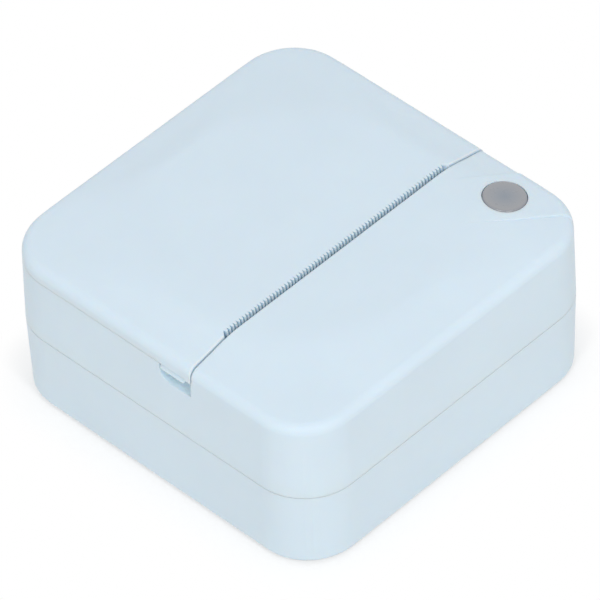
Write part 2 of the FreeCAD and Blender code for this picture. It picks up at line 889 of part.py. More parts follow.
def deck_screws():
    return [screw_down(x, y, deck_z) for x, y in deck_screw_places()]


def paper_sensor():
    half = sensor_width / 2
    z1 = well_lip_z - fit_clearance
    return box(paper_offset - half, paper_offset + half, well_front - sensor_depth, well_front,
               z1 - sensor_height, z1)


def platen_carrier():
    roof = top_z + lid_proud - wall
    z0 = roof - carrier_drop
    z1 = z0 + carrier_plate
    y0 = tooth_root + lid_rib_thickness
    ends = [(cheek_left - cheek_thickness, cheek_left), (cheek_right, cheek_right + cheek_thickness)]
    pieces = [box(ends[0][0], ends[1][1], y0, y0 + carrier_depth, z0, z1)]
    radius = bush_radius + cheek_wall
    for x0, x1 in ends:
        pieces.append(rod(radius, x0, x1, platen_y, platen_z))
        pieces.append(box(x0, x1, y0, platen_y + radius, platen_z, z0))
    body = fused(*pieces)
    for x0, x1 in ends:
        body = body.cut(rod(bush_radius, x0, x1, platen_y, platen_z))
    for x, y in carrier_screw_places():
        body = body.cut(post(small_screw_radius, x, y, 0, above))
    return one_solid(body)


def carrier_screws():
    seat = top_z + lid_proud - wall - carrier_drop
    return [screw_up(x, y, seat) for x, y in carrier_screw_places()]


def bush(x0, x1, flange_x0, flange_x1):
    body = fused(
        rod(bush_radius, x0, x1, platen_y, platen_z),
        rod(bush_radius + bush_flange, flange_x0, flange_x1, platen_y, platen_z),
    )
    return one_solid(body.cut(rod(journal_radius + bush_clearance, x0, x1, platen_y, platen_z)))


def platen_bushes():
    return [
        bush(cheek_left - cheek_thickness, plate_left, cheek_left, plate_left - sheet - cheek_gap / 2),
        bush(plate_right, cheek_right + cheek_thickness, cheek_right - cheek_gap / 2, cheek_right),
    ]


def platen_shaft():
    core = rod(platen_core_radius, rubber_left, rubber_right, platen_y, platen_z)
    journal = rod(journal_radius, cheek_left - cheek_thickness - cheek_gap, gear_end, platen_y, platen_z)
    return one_solid(fused(core, journal))


def platen_rubber():
    sleeve = rod(platen_radius, rubber_left, rubber_right, platen_y, platen_z)
    return sleeve.cut(rod(platen_core_radius, rubber_left, rubber_right, platen_y, platen_z))


def gear_outline(teeth):
    # Involute teeth with a stub height, each flank one arc through three points of its involute.
    pitch_radius = gear_module * teeth / 2
    pressure = math.radians(pressure_angle)
    base_radius = pitch_radius * math.cos(pressure)
    tip_radius = pitch_radius + addendum_share * gear_module
    root_radius = pitch_radius - dedendum_share * gear_module
    start_radius = max(base_radius, root_radius)
    half_pitch = math.pi / (2 * teeth) - gear_backlash / (4 * pitch_radius)

    def half_angle(radius):
        angle = math.acos(min(1.0, base_radius / radius))
        roll = math.tan(pressure) - pressure
        return half_pitch + roll - (math.tan(angle) - angle)

    def at(radius, angle):
        return Vector(0, radius * math.cos(angle), radius * math.sin(angle))

    flank = [start_radius, (start_radius + tip_radius) / 2, tip_radius]
    edges = []
    for tooth in range(teeth):
        middle = 2 * math.pi * tooth / teeth
        gap = 2 * math.pi / teeth
        low = half_angle(start_radius)
        rise = [at(radius, middle - half_angle(radius)) for radius in flank]
        drop = [at(radius, middle + half_angle(radius)) for radius in reversed(flank)]
        foot = at(root_radius, middle - low)
        heel = at(root_radius, middle + low)
        if start_radius > root_radius:
            edges.append(Part.makeLine(foot, rise[0]))
        edges.append(Part.Arc(*rise).toShape())
        edges.append(Part.makeLine(rise[2], drop[0]))
        edges.append(Part.Arc(*drop).toShape())
        if start_radius > root_radius:
            edges.append(Part.makeLine(drop[2], heel))
        edges.append(Part.makeLine(heel, at(root_radius, middle + gap - low)))
    return Part.Wire(edges)


def gear(teeth, x0, x1, axis, turn):
    wheel = Part.Face(gear_outline(teeth)).extrude(Vector(x1 - x0, 0, 0))
    wheel.rotate(Vector(0, 0, 0), Vector(1, 0, 0), math.degrees(turn))
    wheel.translate(Vector(x0, axis[0], axis[1]))
    return wheel


def centre_distance(teeth_a, teeth_b):
    return gear_module * (teeth_a + teeth_b) / 2


def meshed_turn(teeth_a, turn_a, axis_a, teeth_b, axis_b):
    # The turn of gear b that puts a gap of b opposite a tooth of a.
    line = math.atan2(axis_b[1] - axis_a[1], axis_b[0] - axis_a[0])
    phase = teeth_a * (line - turn_a)
    return line + math.pi - (math.pi - phase) / teeth_b


def third_corner(first, second, from_first, from_second):
    # The corner on the rear side of a triangle with two known corners and its two other sides.
    along = (second[0] - first[0], second[1] - first[1])
    length = math.hypot(*along)
    share = (from_first ** 2 - from_second ** 2 + length ** 2) / (2 * length)
    height = math.sqrt(from_first ** 2 - share ** 2)
    unit = (along[0] / length, along[1] / length)
    return (
        first[0] + share * unit[0] + height * unit[1],
        first[1] + share * unit[1] - height * unit[0],
    )


platen_axis = (platen_y, platen_z)
reduction_axis = (seam_y - reduction_from_seam, reduction_height)
idler_axis = third_corner(
    reduction_axis,
    platen_axis,
    centre_distance(reduction_small_teeth, idler_teeth),
    centre_distance(idler_teeth, platen_teeth),
)
motor_axis = (
    reduction_axis[0] - centre_distance(reduction_large_teeth, pinion_teeth),
    reduction_axis[1],
)
idler_turn = meshed_turn(platen_teeth, 0.0, platen_axis, idler_teeth, idler_axis)
reduction_turn = meshed_turn(
    idler_teeth, idler_turn, idler_axis, reduction_small_teeth, reduction_axis
)
pinion_turn = meshed_turn(
    reduction_large_teeth, reduction_turn, reduction_axis, pinion_teeth, motor_axis
)


def platen_gear():
    wheel = gear(platen_teeth, outer_gear_x, gear_end, platen_axis, 0.0)
    return wheel.cut(rod(journal_radius, outer_gear_x, gear_end, *platen_axis))


def idler_gear():
    wheel = gear(idler_teeth, outer_gear_x, gear_end, idler_axis, idler_turn)
    return wheel.cut(rod(stud_radius + stud_clearance, outer_gear_x, gear_end, *idler_axis))


def reduction_gear():
    large_end = inner_gear_x + inner_gear_width
    large = gear(reduction_large_teeth, inner_gear_x, large_end, reduction_axis, reduction_turn)
    small = gear(reduction_small_teeth, large_end, gear_end, reduction_axis, reduction_turn)
    bore = rod(stud_radius + stud_clearance, inner_gear_x, gear_end, *reduction_axis)
    return one_solid(large.fuse(small).cut(bore))


def motor_pinion():
    end = inner_gear_x + inner_gear_width
    wheel = gear(pinion_teeth, inner_gear_x, end, motor_axis, pinion_turn)
    return wheel.cut(rod(motor_shaft_radius, inner_gear_x, end, *motor_axis))


def motor_shaft():
    return rod(motor_shaft_radius, plate_right, inner_gear_x + inner_gear_width, *motor_axis)


def gear_studs():
    studs = []
    for axis in (reduction_axis, idler_axis):
        shank = rod(stud_radius, plate_right, gear_end + stud_over, *axis)
        cap = rod(stud_cap_radius, gear_end + stud_over / 2, gear_end + stud_over / 2 + stud_cap, *axis)
        studs.append(one_solid(fused(shank, cap)))
    return studs


def frame_screw_places():
    y = frame_back + frame_foot_front + frame_foot_length / 2
    return [
        (plate_left - sheet - frame_foot_width / 2, y),
        (plate_right - frame_foot_width / 2, y),
    ]


def motor_screw_places():
    angle = math.radians(motor_ear_angle)
    y = motor_ear_reach * math.cos(angle)
    z = motor_ear_reach * math.sin(angle)
    return [(motor_axis[0] + side * y, motor_axis[1] + side * z) for side in (-1, 1)]


def mechanism_frame():
    top = platen_z + frame_cheek_rise
    side = [
        (frame_front, frame_z),
        (frame_rear, frame_z),
        (frame_rear, top),
        (sink_back, top),
        (frame_front, frame_shoulder),
    ]
    wing_front = motor_axis[0] - motor_radius - sheet
    wing_top = motor_axis[1] + motor_radius + motor_ear_radius
    pieces = [
        prism_x(side, plate_left - sheet, plate_left),
        prism_x(side, plate_right, plate_right + sheet),
        box(plate_right, plate_right + sheet, wing_front, frame_front, frame_z, wing_top),
        box(plate_left, plate_right, frame_front, frame_back, frame_z, frame_shoulder),
    ]
    for x, y in frame_screw_places():
        x0 = x - frame_foot_width / 2
        y0 = y - frame_foot_length / 2
        y1 = y0 + frame_foot_length
        pieces.append(box(x0, x0 + frame_foot_width, y0, y1, frame_z, frame_z + sheet))
    body = fused(*pieces)

    x0 = plate_left - sheet - cut_over
    x1 = plate_right + sheet + cut_over
    notch = bush_radius + notch_clearance
    cuts = [
        rod(notch, x0, x1, *platen_axis),
        box(x0, x1, platen_y - notch, frame_rear + cut_over, platen_z, above),
        rod(pivot_radius, x0, x1, pivot_y, pivot_z),
        rod(motor_boss_radius, plate_right, x1, *motor_axis),
        box(-ribbon_width, ribbon_width, frame_front, frame_back, 0, frame_z + sheet),
    ]
    for axis in (reduction_axis, idler_axis):
        cuts.append(rod(stud_radius, plate_right, x1, *axis))
    for y, z in motor_screw_places():
        cuts.append(rod(small_screw_radius, plate_right, x1, y, z))
    for x, y in frame_screw_places():
        cuts.append(post(small_screw_radius, x, y, 0, frame_z + sheet))
    return one_solid(body.cut(Part.makeCompound(cuts)))


def frame_screws():
    return [screw_down(x, y, frame_z + sheet) for x, y in frame_screw_places()]


def stepper_motor():
    x0 = motor_left
    plug = [motor_axis[0] - motor_radius - motor_plug_depth, motor_axis[0] - motor_radius / 2]
    half = motor_plug_height / 2
    pieces = [
        rod(motor_radius, x0, plate_right, *motor_axis),
        rod(motor_boss_radius - fit_clearance / 2, plate_right, plate_right + sheet, *motor_axis),
        box(x0, x0 + motor_plug_width, plug[0], plug[1], motor_axis[1] - half, motor_axis[1] + half),
    ]
    for y, z in motor_screw_places():
        pieces.append(rod(motor_ear_radius, plate_right - motor_flange, plate_right, y, z))
    body = fused(*pieces)
    bore = motor_shaft_radius + bush_clearance
    body = body.cut(rod(bore, plate_right, plate_right + 2 * sheet, *motor_axis))
    for y, z in motor_screw_places():
        body = body.cut(rod(small_screw_radius, plate_right - motor_flange, plate_right, y, z))
    return one_solid(body)


def motor_screws():
    screws = []
    seat = plate_right + sheet
    for y, z in motor_screw_places():
        shank = rod(small_screw_radius, plate_right - motor_flange, seat, y, z)
        head = rod(small_screw_head_radius, seat, seat + small_screw_head, y, z)
        screws.append(one_solid(fused(shank, head)))
    return screws


def head_heat_sink():
    body = box(head_left, head_right, sink_back, sink_front, sink_bottom, sink_top)
    lug_z = sink_bottom + lug_block_height
    for x0 in (head_left, head_right - lug_block_width):
        lug = box(x0, x0 + lug_block_width, sink_back - lug_block_depth, sink_front, sink_bottom, lug_z)
        body = body.fuse(lug)
    body = body.cut(box(head_left + lug_block_width, head_right - lug_block_width,
                        sink_back - cut_over, sink_front + cut_over, sink_bottom - cut_over, lug_z))
    body = body.cut(rod(pivot_radius + pin_clearance, head_left, head_right, pivot_y, pivot_z))
    return one_solid(body.removeSplitter())


def head_substrate():
    z1 = platen_z + ceramic_over
    return box(head_left, head_right, sink_front, head_face, z1 - ceramic_height, z1)


def head_driver_cover():
    z0 = platen_z + ceramic_over - ceramic_height
    half = driver_cover_width / 2
    y1 = head_face + driver_cover_depth
    outline = [
        (head_face, z0),
        (y1, z0 + driver_cover_depth / 2),
        (y1, z0 + driver_cover_height - driver_cover_depth / 2),
        (head_face, z0 + driver_cover_height),
    ]
    return prism_x(outline, paper_offset - half, paper_offset + half)


def head_connector():
    z1 = platen_z + ceramic_over - ceramic_height
    half = head_connector_width / 2
    return box(paper_offset - half, paper_offset + half, sink_front, sink_front + head_connector_depth,
               z1 - head_connector_height, z1)


def head_pivot_pin():
    return rod(pivot_radius, plate_left - sheet, plate_right + sheet, pivot_y, pivot_z)


def bent_strip(points, thickness, bend, place, sweep):
    # A flat strip along a route of straight runs joined by arcs, given in its own plane.
    half = thickness / 2
    sides = []
    for offset in (half, -half):
        edges = []
        here = None
        for index in range(len(points)):
            point = Vector(points[index][0], points[index][1], 0)
            if 0 < index < len(points) - 1:
                before = Vector(points[index - 1][0], points[index - 1][1], 0)
                after = Vector(points[index + 1][0], points[index + 1][1], 0)
                into = (point - before).normalize()
                out = (after - point).normalize()
                turn = math.atan2(into.x * out.y - into.y * out.x, into.dot(out))
                run = bend * math.tan(abs(turn) / 2)
                hand = math.copysign(1.0, turn)
                normal = Vector(-into.y, into.x, 0)
                normal_out = Vector(-out.y, out.x, 0)
                start = point - into * run
                centre = start + normal * (hand * bend)
                radius = bend - hand * offset
                first = start + normal * offset
                last = point + out * run + normal_out * offset
                middle = centre + (point - centre).normalize() * radius
                edges.append(Part.makeLine(place(here), place(first)))
                edges.append(Part.Arc(place(first), place(middle), place(last)).toShape())
                here = last
            else:
                other = points[1] if index == 0 else points[-2]
                other = Vector(other[0], other[1], 0)
                run = (other - point if index == 0 else point - other).normalize()
                corner = point + Vector(-run.y, run.x, 0) * offset
                if index > 0:
                    edges.append(Part.makeLine(place(here), place(corner)))
                here = corner
        sides.append(edges)
    first = Part.makeLine(sides[1][0].Vertexes[0].Point, sides[0][0].Vertexes[0].Point)
    last = Part.makeLine(sides[0][-1].Vertexes[-1].Point, sides[1][-1].Vertexes[-1].Point)
    outline = Part.Wire(Part.__sortEdges__(sides[0] + [last] + sides[1] + [first]))
    return Part.Face(outline).extrude(sweep)


def head_spring():
    # One stamped leaf: a base on the frame's back plate and two fingers that press on the heat sink.
    y = frame_back + spring_thickness / 2
    z0 = sink_top - spring_reach - spring_base_height
    tip = sink_back - spring_touch - spring_thickness / 2
    route = [
        (y, z0),
        (y, z0 + spring_base_height),
        (tip, sink_top - spring_tip_drop - spring_pad),
        (tip, sink_top - spring_tip_drop),
    ]
    fingers = []
    for side in (-1, 1):
        x0 = paper_offset + side * spring_spacing / 2 - spring_width / 2
        fingers.append(bent_strip(route, spring_thickness, spring_bend, lambda p: Vector(x0, p.x, p.y),
                                  Vector(spring_width, 0, 0)))
    half = spring_spacing / 2
    bar = box(paper_offset - half, paper_offset + half, frame_back, frame_back + spring_thickness,
              z0, z0 + spring_base_height / 2)
    return one_solid(fused(bar, *fingers))


def head_ribbon():
    y0 = sink_front + head_connector_depth / 2
    z0 = platen_z + ceramic_over - ceramic_height - head_connector_height
    low = floor_z + ribbon_floor_gap + ribbon_thickness / 2
    y1 = board_back + connector_depth / 2
    x0 = paper_offset - ribbon_width / 2
    route = [(y0, z0), (y0, low), (y1, low), (y1, board_z + ribbon_bend)]
    return bent_strip(route, ribbon_thickness, ribbon_bend, lambda p: Vector(x0, p.x, p.y),
                      Vector(ribbon_width, 0, 0))


def battery_cell():
    cell = box(battery_left, battery_right, battery_front, tape_front, battery_z, battery_top)
    upright = [edge for edge in cell.Edges if edge.BoundBox.ZLength > battery_thickness]
    return cell.makeFillet(battery_edge, upright)


def battery_tape():
    x = (battery_left + battery_right) / 2
    z = (battery_z + battery_top) / 2
    top = min(z + tape_height / 2, frame_shoulder)
    return box(x - tape_length / 2, x + tape_length / 2, tape_front, frame_front, top - tape_height, top)


def main_board():
    return box(board_left, board_right, board_front, board_back, board_z, board_z + board_height)


def on_board(x, z, width, height, depth):
    # A component on the front face of the main board, placed from the board's lower left corner.
    x0 = board_left + x
    z0 = board_z + z
    return box(x0, x0 + width, board_front - depth, board_front, z0, z0 + height)


def behind_board(x, z, width, height, depth):
    x0 = board_left + x
    z0 = board_z + z
    return box(x0, x0 + width, board_back, board_back + depth, z0, z0 + height)


def component(share, *sizes):
    return on_board(share * board_length, *sizes)


def board_chips():
    return [component(*chip) for chip in (processor, memory, motor_driver, coil)]


def radio_module():
    return component(*radio)


def board_connectors():
    plug_x = board_length - motor_plug_width - guide_reach
    plug_z = motor_axis[1] - motor_plug_height / 2 - board_z
    ribbon_x = paper_offset - head_connector_width / 2 - board_left
    return [
        on_board(plug_x, plug_z, motor_plug_width, motor_plug_height, connector_depth),
        behind_board(ribbon_x, ribbon_bend, head_connector_width, connector_depth, connector_depth),
        behind_board(guide_reach, charge_top - board_z, charge_plug_size, charge_plug_height,
                     connector_depth),
        behind_board(battery_lead_x - battery_plug_width / 2 - board_left, battery_plug_z,
                     battery_plug_width, battery_plug_height, connector_depth),
    ]


def battery_leads():
    # Two wires that loop from the top of the cell over to the back of the main board.
    y0 = (battery_front + tape_front) / 2
    y1 = board_back + connector_depth / 2
    z0 = battery_top
    z1 = board_z + battery_plug_z + battery_plug_height
    radius = (y0 - y1) / 2
    wires = []
    for side in (-1, 1):
        x = battery_lead_x + side * lead_pitch / 2
        crest = Vector(x, (y0 + y1) / 2, z0 + radius)
        path = Part.Wire([
            Part.Arc(Vector(x, y0, z0), crest, Vector(x, y1, z0)).toShape(),
            Part.makeLine(Vector(x, y1, z0), Vector(x, y1, z1)),
        ])
        ring = Part.Wire(Part.makeCircle(lead_radius, Vector(x, y0, z0), Vector(0, 0, 1)))
        wires.append(path.makePipeShell([ring], True, False).Solids[0])
    return wires


def motor_leads():
    y = board_front - connector_depth / 2
    plug_y = motor_axis[0] - motor_radius - motor_plug_depth / 2
    x0 = board_right - guide_reach
    x1 = motor_left
    route = [(x0, y), ((x0 + x1) / 2, y), ((x0 + x1) / 2, plug_y), (x1, plug_y)]
    z0 = motor_axis[1] - motor_lead_width / 2
    return bent_strip(route, 2 * lead_radius, motor_lead_bend, lambda p: Vector(p.x, p.y, z0),
                      Vector(0, 0, motor_lead_width))


def charge_screw_places():
    y = charge_front + charge_post_radius + fit_clearance
    return [
        (socket_x - charge_board_left + charge_plug_size + charge_post_radius + fit_clearance, y),
        (socket_x + charge_board_right - charge_post_radius, y),
    ]


def charge_board():
    board = box(socket_x - charge_board_left, socket_x + charge_board_right, charge_front, charge_rear,
                charge_z, charge_top)
    for x, y in charge_screw_places():
        board = board.cut(post(small_screw_radius, x, y, 0, above))
    return board


def charge_screws():
    return [screw_down(x, y, charge_top) for x, y in charge_screw_places()]


def socket_outline(grow, y0, y1):
    # The flat oval of the charge socket, as a solid from y0 to y1.
    z = charge_top + socket_height / 2
    radius = socket_height / 2 + grow
    half = socket_width / 2 - socket_height / 2
    length = y1 - y0
    ends = [
        Part.makeCylinder(radius, length, Vector(socket_x + side * half, y0, z), Vector(0, 1, 0))
        for side in (-1, 1)
    ]
    return fused(box(socket_x - half, socket_x + half, y0, y1, z - radius, z + radius), *ends)


def charge_socket():
    y1 = back - base_taper - socket_recess
    body = socket_outline(0.0, y1 - socket_length, y1)
    hollow = socket_outline(-socket_wall, y1 - socket_length + socket_back, y1)
    z = charge_top + socket_height / 2
    tongue = box(socket_x - tongue_width / 2, socket_x + tongue_width / 2,
                 y1 - socket_length + socket_back / 2, y1 - socket_back,
                 z - tongue_thickness / 2, z + tongue_thickness / 2)
    return one_solid(fused(body.cut(hollow), tongue))


def charge_plug():
    x0 = socket_x - charge_board_left
    return box(x0, x0 + charge_plug_size, charge_front, charge_front + charge_plug_size,
               charge_top, plug_top)


def charge_leads():
    # The lead from the charge board along the left wall to the main board.
    z = charge_top + charge_plug_height / 2
    x0 = socket_x - charge_board_left
    x1 = left + wall + base_taper + 2 * charge_lead_radius
    x2 = board_left + guide_reach
    y0 = charge_front + charge_lead_radius
    y1 = board_back + connector_depth - charge_lead_radius
    bend = charge_lead_bend
    inner = bend * (1 - math.sqrt(0.5))
    rear = [Vector(x1 + bend, y0, z), Vector(x1 + inner, y0 - inner, z), Vector(x1, y0 - bend, z)]
    fore = [Vector(x1, y1 + bend, z), Vector(x1 + inner, y1 + inner, z), Vector(x1 + bend, y1, z)]
    path = Part.Wire([
        Part.makeLine(Vector(x0, y0, z), rear[0]),
        Part.Arc(*rear).toShape(),
        Part.makeLine(rear[2], fore[0]),
        Part.Arc(*fore).toShape(),
        Part.makeLine(fore[2], Vector(x2, y1, z)),
    ])
    ring = Part.Wire(Part.makeCircle(charge_lead_radius, Vector(x0, y0, z), Vector(1, 0, 0)))
    return path.makePipeShell([ring], True, False).Solids[0]


nodes = {
    "base_shell": base_shell,
    "upper_shell": upper_shell,
    "lid_cover": lid_cover,
    "rubber_feet": rubber_feet,
    "case_screws": case_screws,
    "hinge_pins": hinge_pins,
    "button_cap": button_cap,
    "switch_plunger": switch_plunger,
    "tact_switch": tact_switch,
    "button_board": button_board,
    "button_board_screws": button_screws,
    "status_light": status_light,
    "paper_well": paper_well,
    "deck_screws": deck_screws,
    "paper_sensor": paper_sensor,
    "platen_carrier": platen_carrier,
    "carrier_screws": carrier_screws,
    "platen_bushes": platen_bushes,
    "platen_shaft": platen_shaft,
    "platen_rubber": platen_rubber,
    "platen_gear": platen_gear,
    "idler_gear": idler_gear,
    "reduction_gear": reduction_gear,
    "motor_pinion": motor_pinion,
    "motor_shaft": motor_shaft,
    "gear_studs": gear_studs,
    "mechanism_frame": mechanism_frame,
    "frame_screws": frame_screws,
    "stepper_motor": stepper_motor,
    "motor_screws": motor_screws,
    "head_heat_sink": head_heat_sink,
    "head_substrate": head_substrate,
    "head_driver_cover": head_driver_cover,
    "head_connector": head_connector,
    "head_pivot_pin": head_pivot_pin,
    "head_spring": head_spring,
    "head_ribbon": head_ribbon,
    "battery_cell": battery_cell,
    "battery_tape": battery_tape,
    "battery_leads": battery_leads,
    "main_board": main_board,
    "board_chips": board_chips,
    "radio_module": radio_module,
    "board_connectors": board_connectors,
    "motor_leads": motor_leads,
    "charge_board": charge_board,
    "charge_board_screws": charge_screws,
    "charge_socket": charge_socket,
    "charge_plug": charge_plug,
    "charge_leads": charge_leads,
}

os.makedirs("parts", exist_ok=True)
for name, make in nodes.items():
    shape = make()
    if isinstance(shape, list):
        shape = Part.makeCompound(shape)
    print(name, len(shape.Solids), "solids", round(shape.Volume, 1), "mm3", shape.isValid())
    shape.exportStep("parts/" + name + ".step")
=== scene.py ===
import json
import math

import bmesh
import bpy
from mathutils import Matrix, Vector

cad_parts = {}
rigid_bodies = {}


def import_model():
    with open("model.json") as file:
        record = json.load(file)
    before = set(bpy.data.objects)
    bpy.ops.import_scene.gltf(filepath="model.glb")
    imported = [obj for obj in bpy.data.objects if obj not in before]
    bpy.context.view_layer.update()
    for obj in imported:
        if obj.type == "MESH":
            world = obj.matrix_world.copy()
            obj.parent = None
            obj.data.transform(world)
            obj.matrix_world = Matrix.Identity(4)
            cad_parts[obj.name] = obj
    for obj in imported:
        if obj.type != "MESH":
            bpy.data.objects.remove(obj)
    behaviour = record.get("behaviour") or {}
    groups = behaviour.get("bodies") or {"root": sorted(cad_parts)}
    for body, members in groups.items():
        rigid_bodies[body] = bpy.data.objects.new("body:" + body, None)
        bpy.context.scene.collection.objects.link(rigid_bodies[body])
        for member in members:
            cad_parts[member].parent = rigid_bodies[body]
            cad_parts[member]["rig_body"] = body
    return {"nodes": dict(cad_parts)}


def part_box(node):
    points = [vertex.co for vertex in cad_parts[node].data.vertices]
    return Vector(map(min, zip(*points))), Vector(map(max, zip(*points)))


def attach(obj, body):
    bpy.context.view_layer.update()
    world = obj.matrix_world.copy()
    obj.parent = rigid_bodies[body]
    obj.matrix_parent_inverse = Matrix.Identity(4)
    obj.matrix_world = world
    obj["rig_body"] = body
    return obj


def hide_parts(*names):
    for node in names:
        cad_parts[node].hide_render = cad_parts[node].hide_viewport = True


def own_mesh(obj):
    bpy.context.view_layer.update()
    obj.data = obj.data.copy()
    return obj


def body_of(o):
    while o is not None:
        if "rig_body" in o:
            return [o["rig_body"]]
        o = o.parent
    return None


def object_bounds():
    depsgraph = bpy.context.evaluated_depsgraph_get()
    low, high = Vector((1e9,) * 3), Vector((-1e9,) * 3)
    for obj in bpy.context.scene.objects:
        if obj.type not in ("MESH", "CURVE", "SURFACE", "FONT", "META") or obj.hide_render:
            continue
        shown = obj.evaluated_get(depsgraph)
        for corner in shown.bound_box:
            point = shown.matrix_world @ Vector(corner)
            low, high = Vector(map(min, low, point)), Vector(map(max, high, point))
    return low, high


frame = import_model()
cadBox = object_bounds()
nodes = frame["nodes"]

# What finishes and meshes share: the useful range of a noise, edge samples, welding and smoothing
common = {"noiseLow": 0.3, "noiseHigh": 0.7, "edgeSamples": 6, "weld": 1e-6, "smoothAngle": 34}


def addNode(tree, kind, values=None, **settings):
    made = tree.nodes.new("ShaderNode" + kind)
    for name, value in settings.items():
        setattr(made, name, value)
    for socket, value in (values or {}).items():
        if isinstance(value, bpy.types.NodeSocket):
            tree.links.new(value, made.inputs[socket])
        else:
            made.inputs[socket].default_value = value
    return made


def newFinish(name, metallic=0.0):
    finish = bpy.data.materials.new(name)
    finish.use_nodes = True
    tree = finish.node_tree
    tree.nodes.clear()
    shader = addNode(tree, "BsdfPrincipled", {"Metallic": metallic})
    addNode(tree, "OutputMaterial", {"Surface": shader.outputs["BSDF"]})
    place = addNode(tree, "TexCoord").outputs["Object"]
    return finish, tree, shader, place


def math2(tree, kind, first, second=0.0):
    return addNode(tree, "Math", {0: first, 1: second}, operation=kind).outputs["Value"]


def vector2(tree, kind, first, second=(0.0, 0.0, 0.0)):
    return addNode(tree, "VectorMath", {0: first, 1: second}, operation=kind).outputs["Vector"]


def noise(tree, place, scale, detail=2.0, rough=0.5):
    values = {"Vector": place, "Scale": scale, "Detail": detail, "Roughness": rough}
    return addNode(tree, "TexNoise", values).outputs["Fac"]


def cells(tree, place, scale, feature, randomness=1.0):
    values = {"Vector": place, "Scale": scale, "Randomness": randomness}
    return addNode(tree, "TexVoronoi", values, feature=feature).outputs["Distance"]


def along(tree, place, axis):
    return addNode(tree, "SeparateXYZ", {"Vector": place}).outputs["XYZ".index(axis)]


def ramp(tree, factor, stops, steps=False):
    made = addNode(tree, "ValToRGB", {"Fac": factor})
    points = made.color_ramp.elements
    made.color_ramp.interpolation = "CONSTANT" if steps else "LINEAR"
    for index, (at, colour) in enumerate(stops):
        point = points[index] if index < 2 else points.new(at)
        point.position = at
        point.color = (*colour, 1.0)
    return made.outputs["Color"]


def tones(tree, factor, first, second, low=common["noiseLow"], high=common["noiseHigh"]):
    return ramp(tree, factor, [(low, first), (high, second)])


def spread(tree, factor, low, high, fromLow=common["noiseLow"], fromHigh=common["noiseHigh"]):
    values = {"Value": factor, "From Min": fromLow, "From Max": fromHigh, "To Min": low, "To Max": high}
    return addNode(tree, "MapRange", values).outputs["Result"]


def mixColour(tree, factor, first, second):
    values = {"Fac": factor, "Color1": first, "Color2": second}
    for name in ("Color1", "Color2"):
        if isinstance(values[name], tuple):
            values[name] = (*values[name], 1.0)
    return addNode(tree, "MixRGB", values).outputs["Color"]


def stripes(tree, place, axis, pitch, share):
    turns = math2(tree, "MULTIPLY", along(tree, place, axis), 1.0 / pitch)
    return math2(tree, "LESS_THAN", math2(tree, "FRACT", turns), share)


def inLimits(tree, share, *tests):
    # Keeps a share only where each comparison holds.
    for kind, value, limit in tests:
        share = math2(tree, "MULTIPLY", share, math2(tree, kind, value, limit))
    return share


def shade(colour, factor):
    return tuple(min(1.0, channel * factor) for channel in colour)


def paint(tree, shader, colour, roughness):
    tree.links.new(colour, shader.inputs["Base Color"])
    tree.links.new(roughness, shader.inputs["Roughness"])


def relief(tree, shader, height, depth, edge=0.0):
    bump = addNode(tree, "Bump", {"Strength": 1.0, "Distance": depth, "Height": height})
    if edge:
        rounded = addNode(tree, "Bevel", {"Radius": edge}, samples=common["edgeSamples"])
        tree.links.new(rounded.outputs["Normal"], bump.inputs["Normal"])
    tree.links.new(bump.outputs["Normal"], shader.inputs["Normal"])


def translucent(shader, weight, radius):
    shader.inputs["Subsurface Weight"].default_value = weight
    shader.inputs["Subsurface Radius"].default_value = radius
    shader.inputs["Subsurface Scale"].default_value = 1.0


def middleOf(low, high):
    return [(first + second) / 2 for first, second in zip(low, high)]


# Pale blue moulded case: spark-eroded grain, a soft sheen and edges that are never quite sharp
casePlastic = {
    "colour": (0.640, 0.752, 0.838), "mottle": 0.012, "cloud": 60.0, "cloudDetail": 3.0,
    "rough": (0.44, 0.54), "roughCloud": 400.0, "grain": 5200.0, "grainDetail": 2.0, "grainRough": 0.6,
    "grainDepth": 0.000006, "caseEdge": 0.0002, "lidEdge": 0.00014, "refraction": 1.46, "sheen": 0.36,
    "glow": 0.40, "glowRadius": (0.0007, 0.0011, 0.0015),
}

# The lid's front: a rounder edge beside the teeth with a painted highlight along it, and painted shade in the
# gaps between them
lidFront = {
    "middle": -0.00025, "toothEnd": 0.0309, "edgeEnd": 0.0385, "back": -0.0097, "edge": 0.00035,
    "gapShadeColour": (0.41, 0.58, 0.69), "gapReach": 0.0009, "gapRange": (0.30, 0.80), "gapSamples": 6,
    "edgeHighlightColour": (0.715, 0.795, 0.845), "band": (-0.0104, -0.0106), "bandEnd": -0.01086,
}

# The finger notch: painted light, a lighter and bluer colour on its walls in place of the light they throw at
# each other
notchLight = {
    "colour": (0.74, 0.88, 0.97), "depth": (-0.0409, -0.0400), "end": -0.0378, "front": -0.0111,
    "back": -0.0025, "low": 0.024,
}


def besideMiddle(tree, place):
    return math2(tree, "ABSOLUTE", math2(tree, "SUBTRACT", along(tree, place, "X"), lidFront["middle"]))


def lidEdge(tree, place):
    s = lidFront
    beside = besideMiddle(tree, place)
    front = inLimits(tree, 1.0, ("GREATER_THAN", beside, s["toothEnd"]), ("LESS_THAN", beside, s["edgeEnd"]),
                     ("LESS_THAN", along(tree, place, "Y"), s["back"]))
    return spread(tree, front, casePlastic["lidEdge"], s["edge"], 0.0, 1.0)


def paintLidShadeAndHighlight(tree, place, tint):
    s = lidFront
    # Painted shade: colour darkens to a bluer grey where the lid's own teeth close in around a point
    bare = addNode(tree, "AmbientOcclusion", {"Distance": s["gapReach"]}, samples=s["gapSamples"],
                   only_local=True).outputs["AO"]
    tint = mixColour(tree, spread(tree, bare, 0.0, 1.0, *s["gapRange"]), s["gapShadeColour"], tint)
    # Painted highlight: a lighter strip along the lid's front edge beside the teeth
    y = along(tree, place, "Y")
    band = inLimits(tree, spread(tree, y, 0.0, 1.0, *s["band"]), ("GREATER_THAN", y, s["bandEnd"]),
                    ("GREATER_THAN", besideMiddle(tree, place), s["toothEnd"]))
    return mixColour(tree, band, tint, s["edgeHighlightColour"])


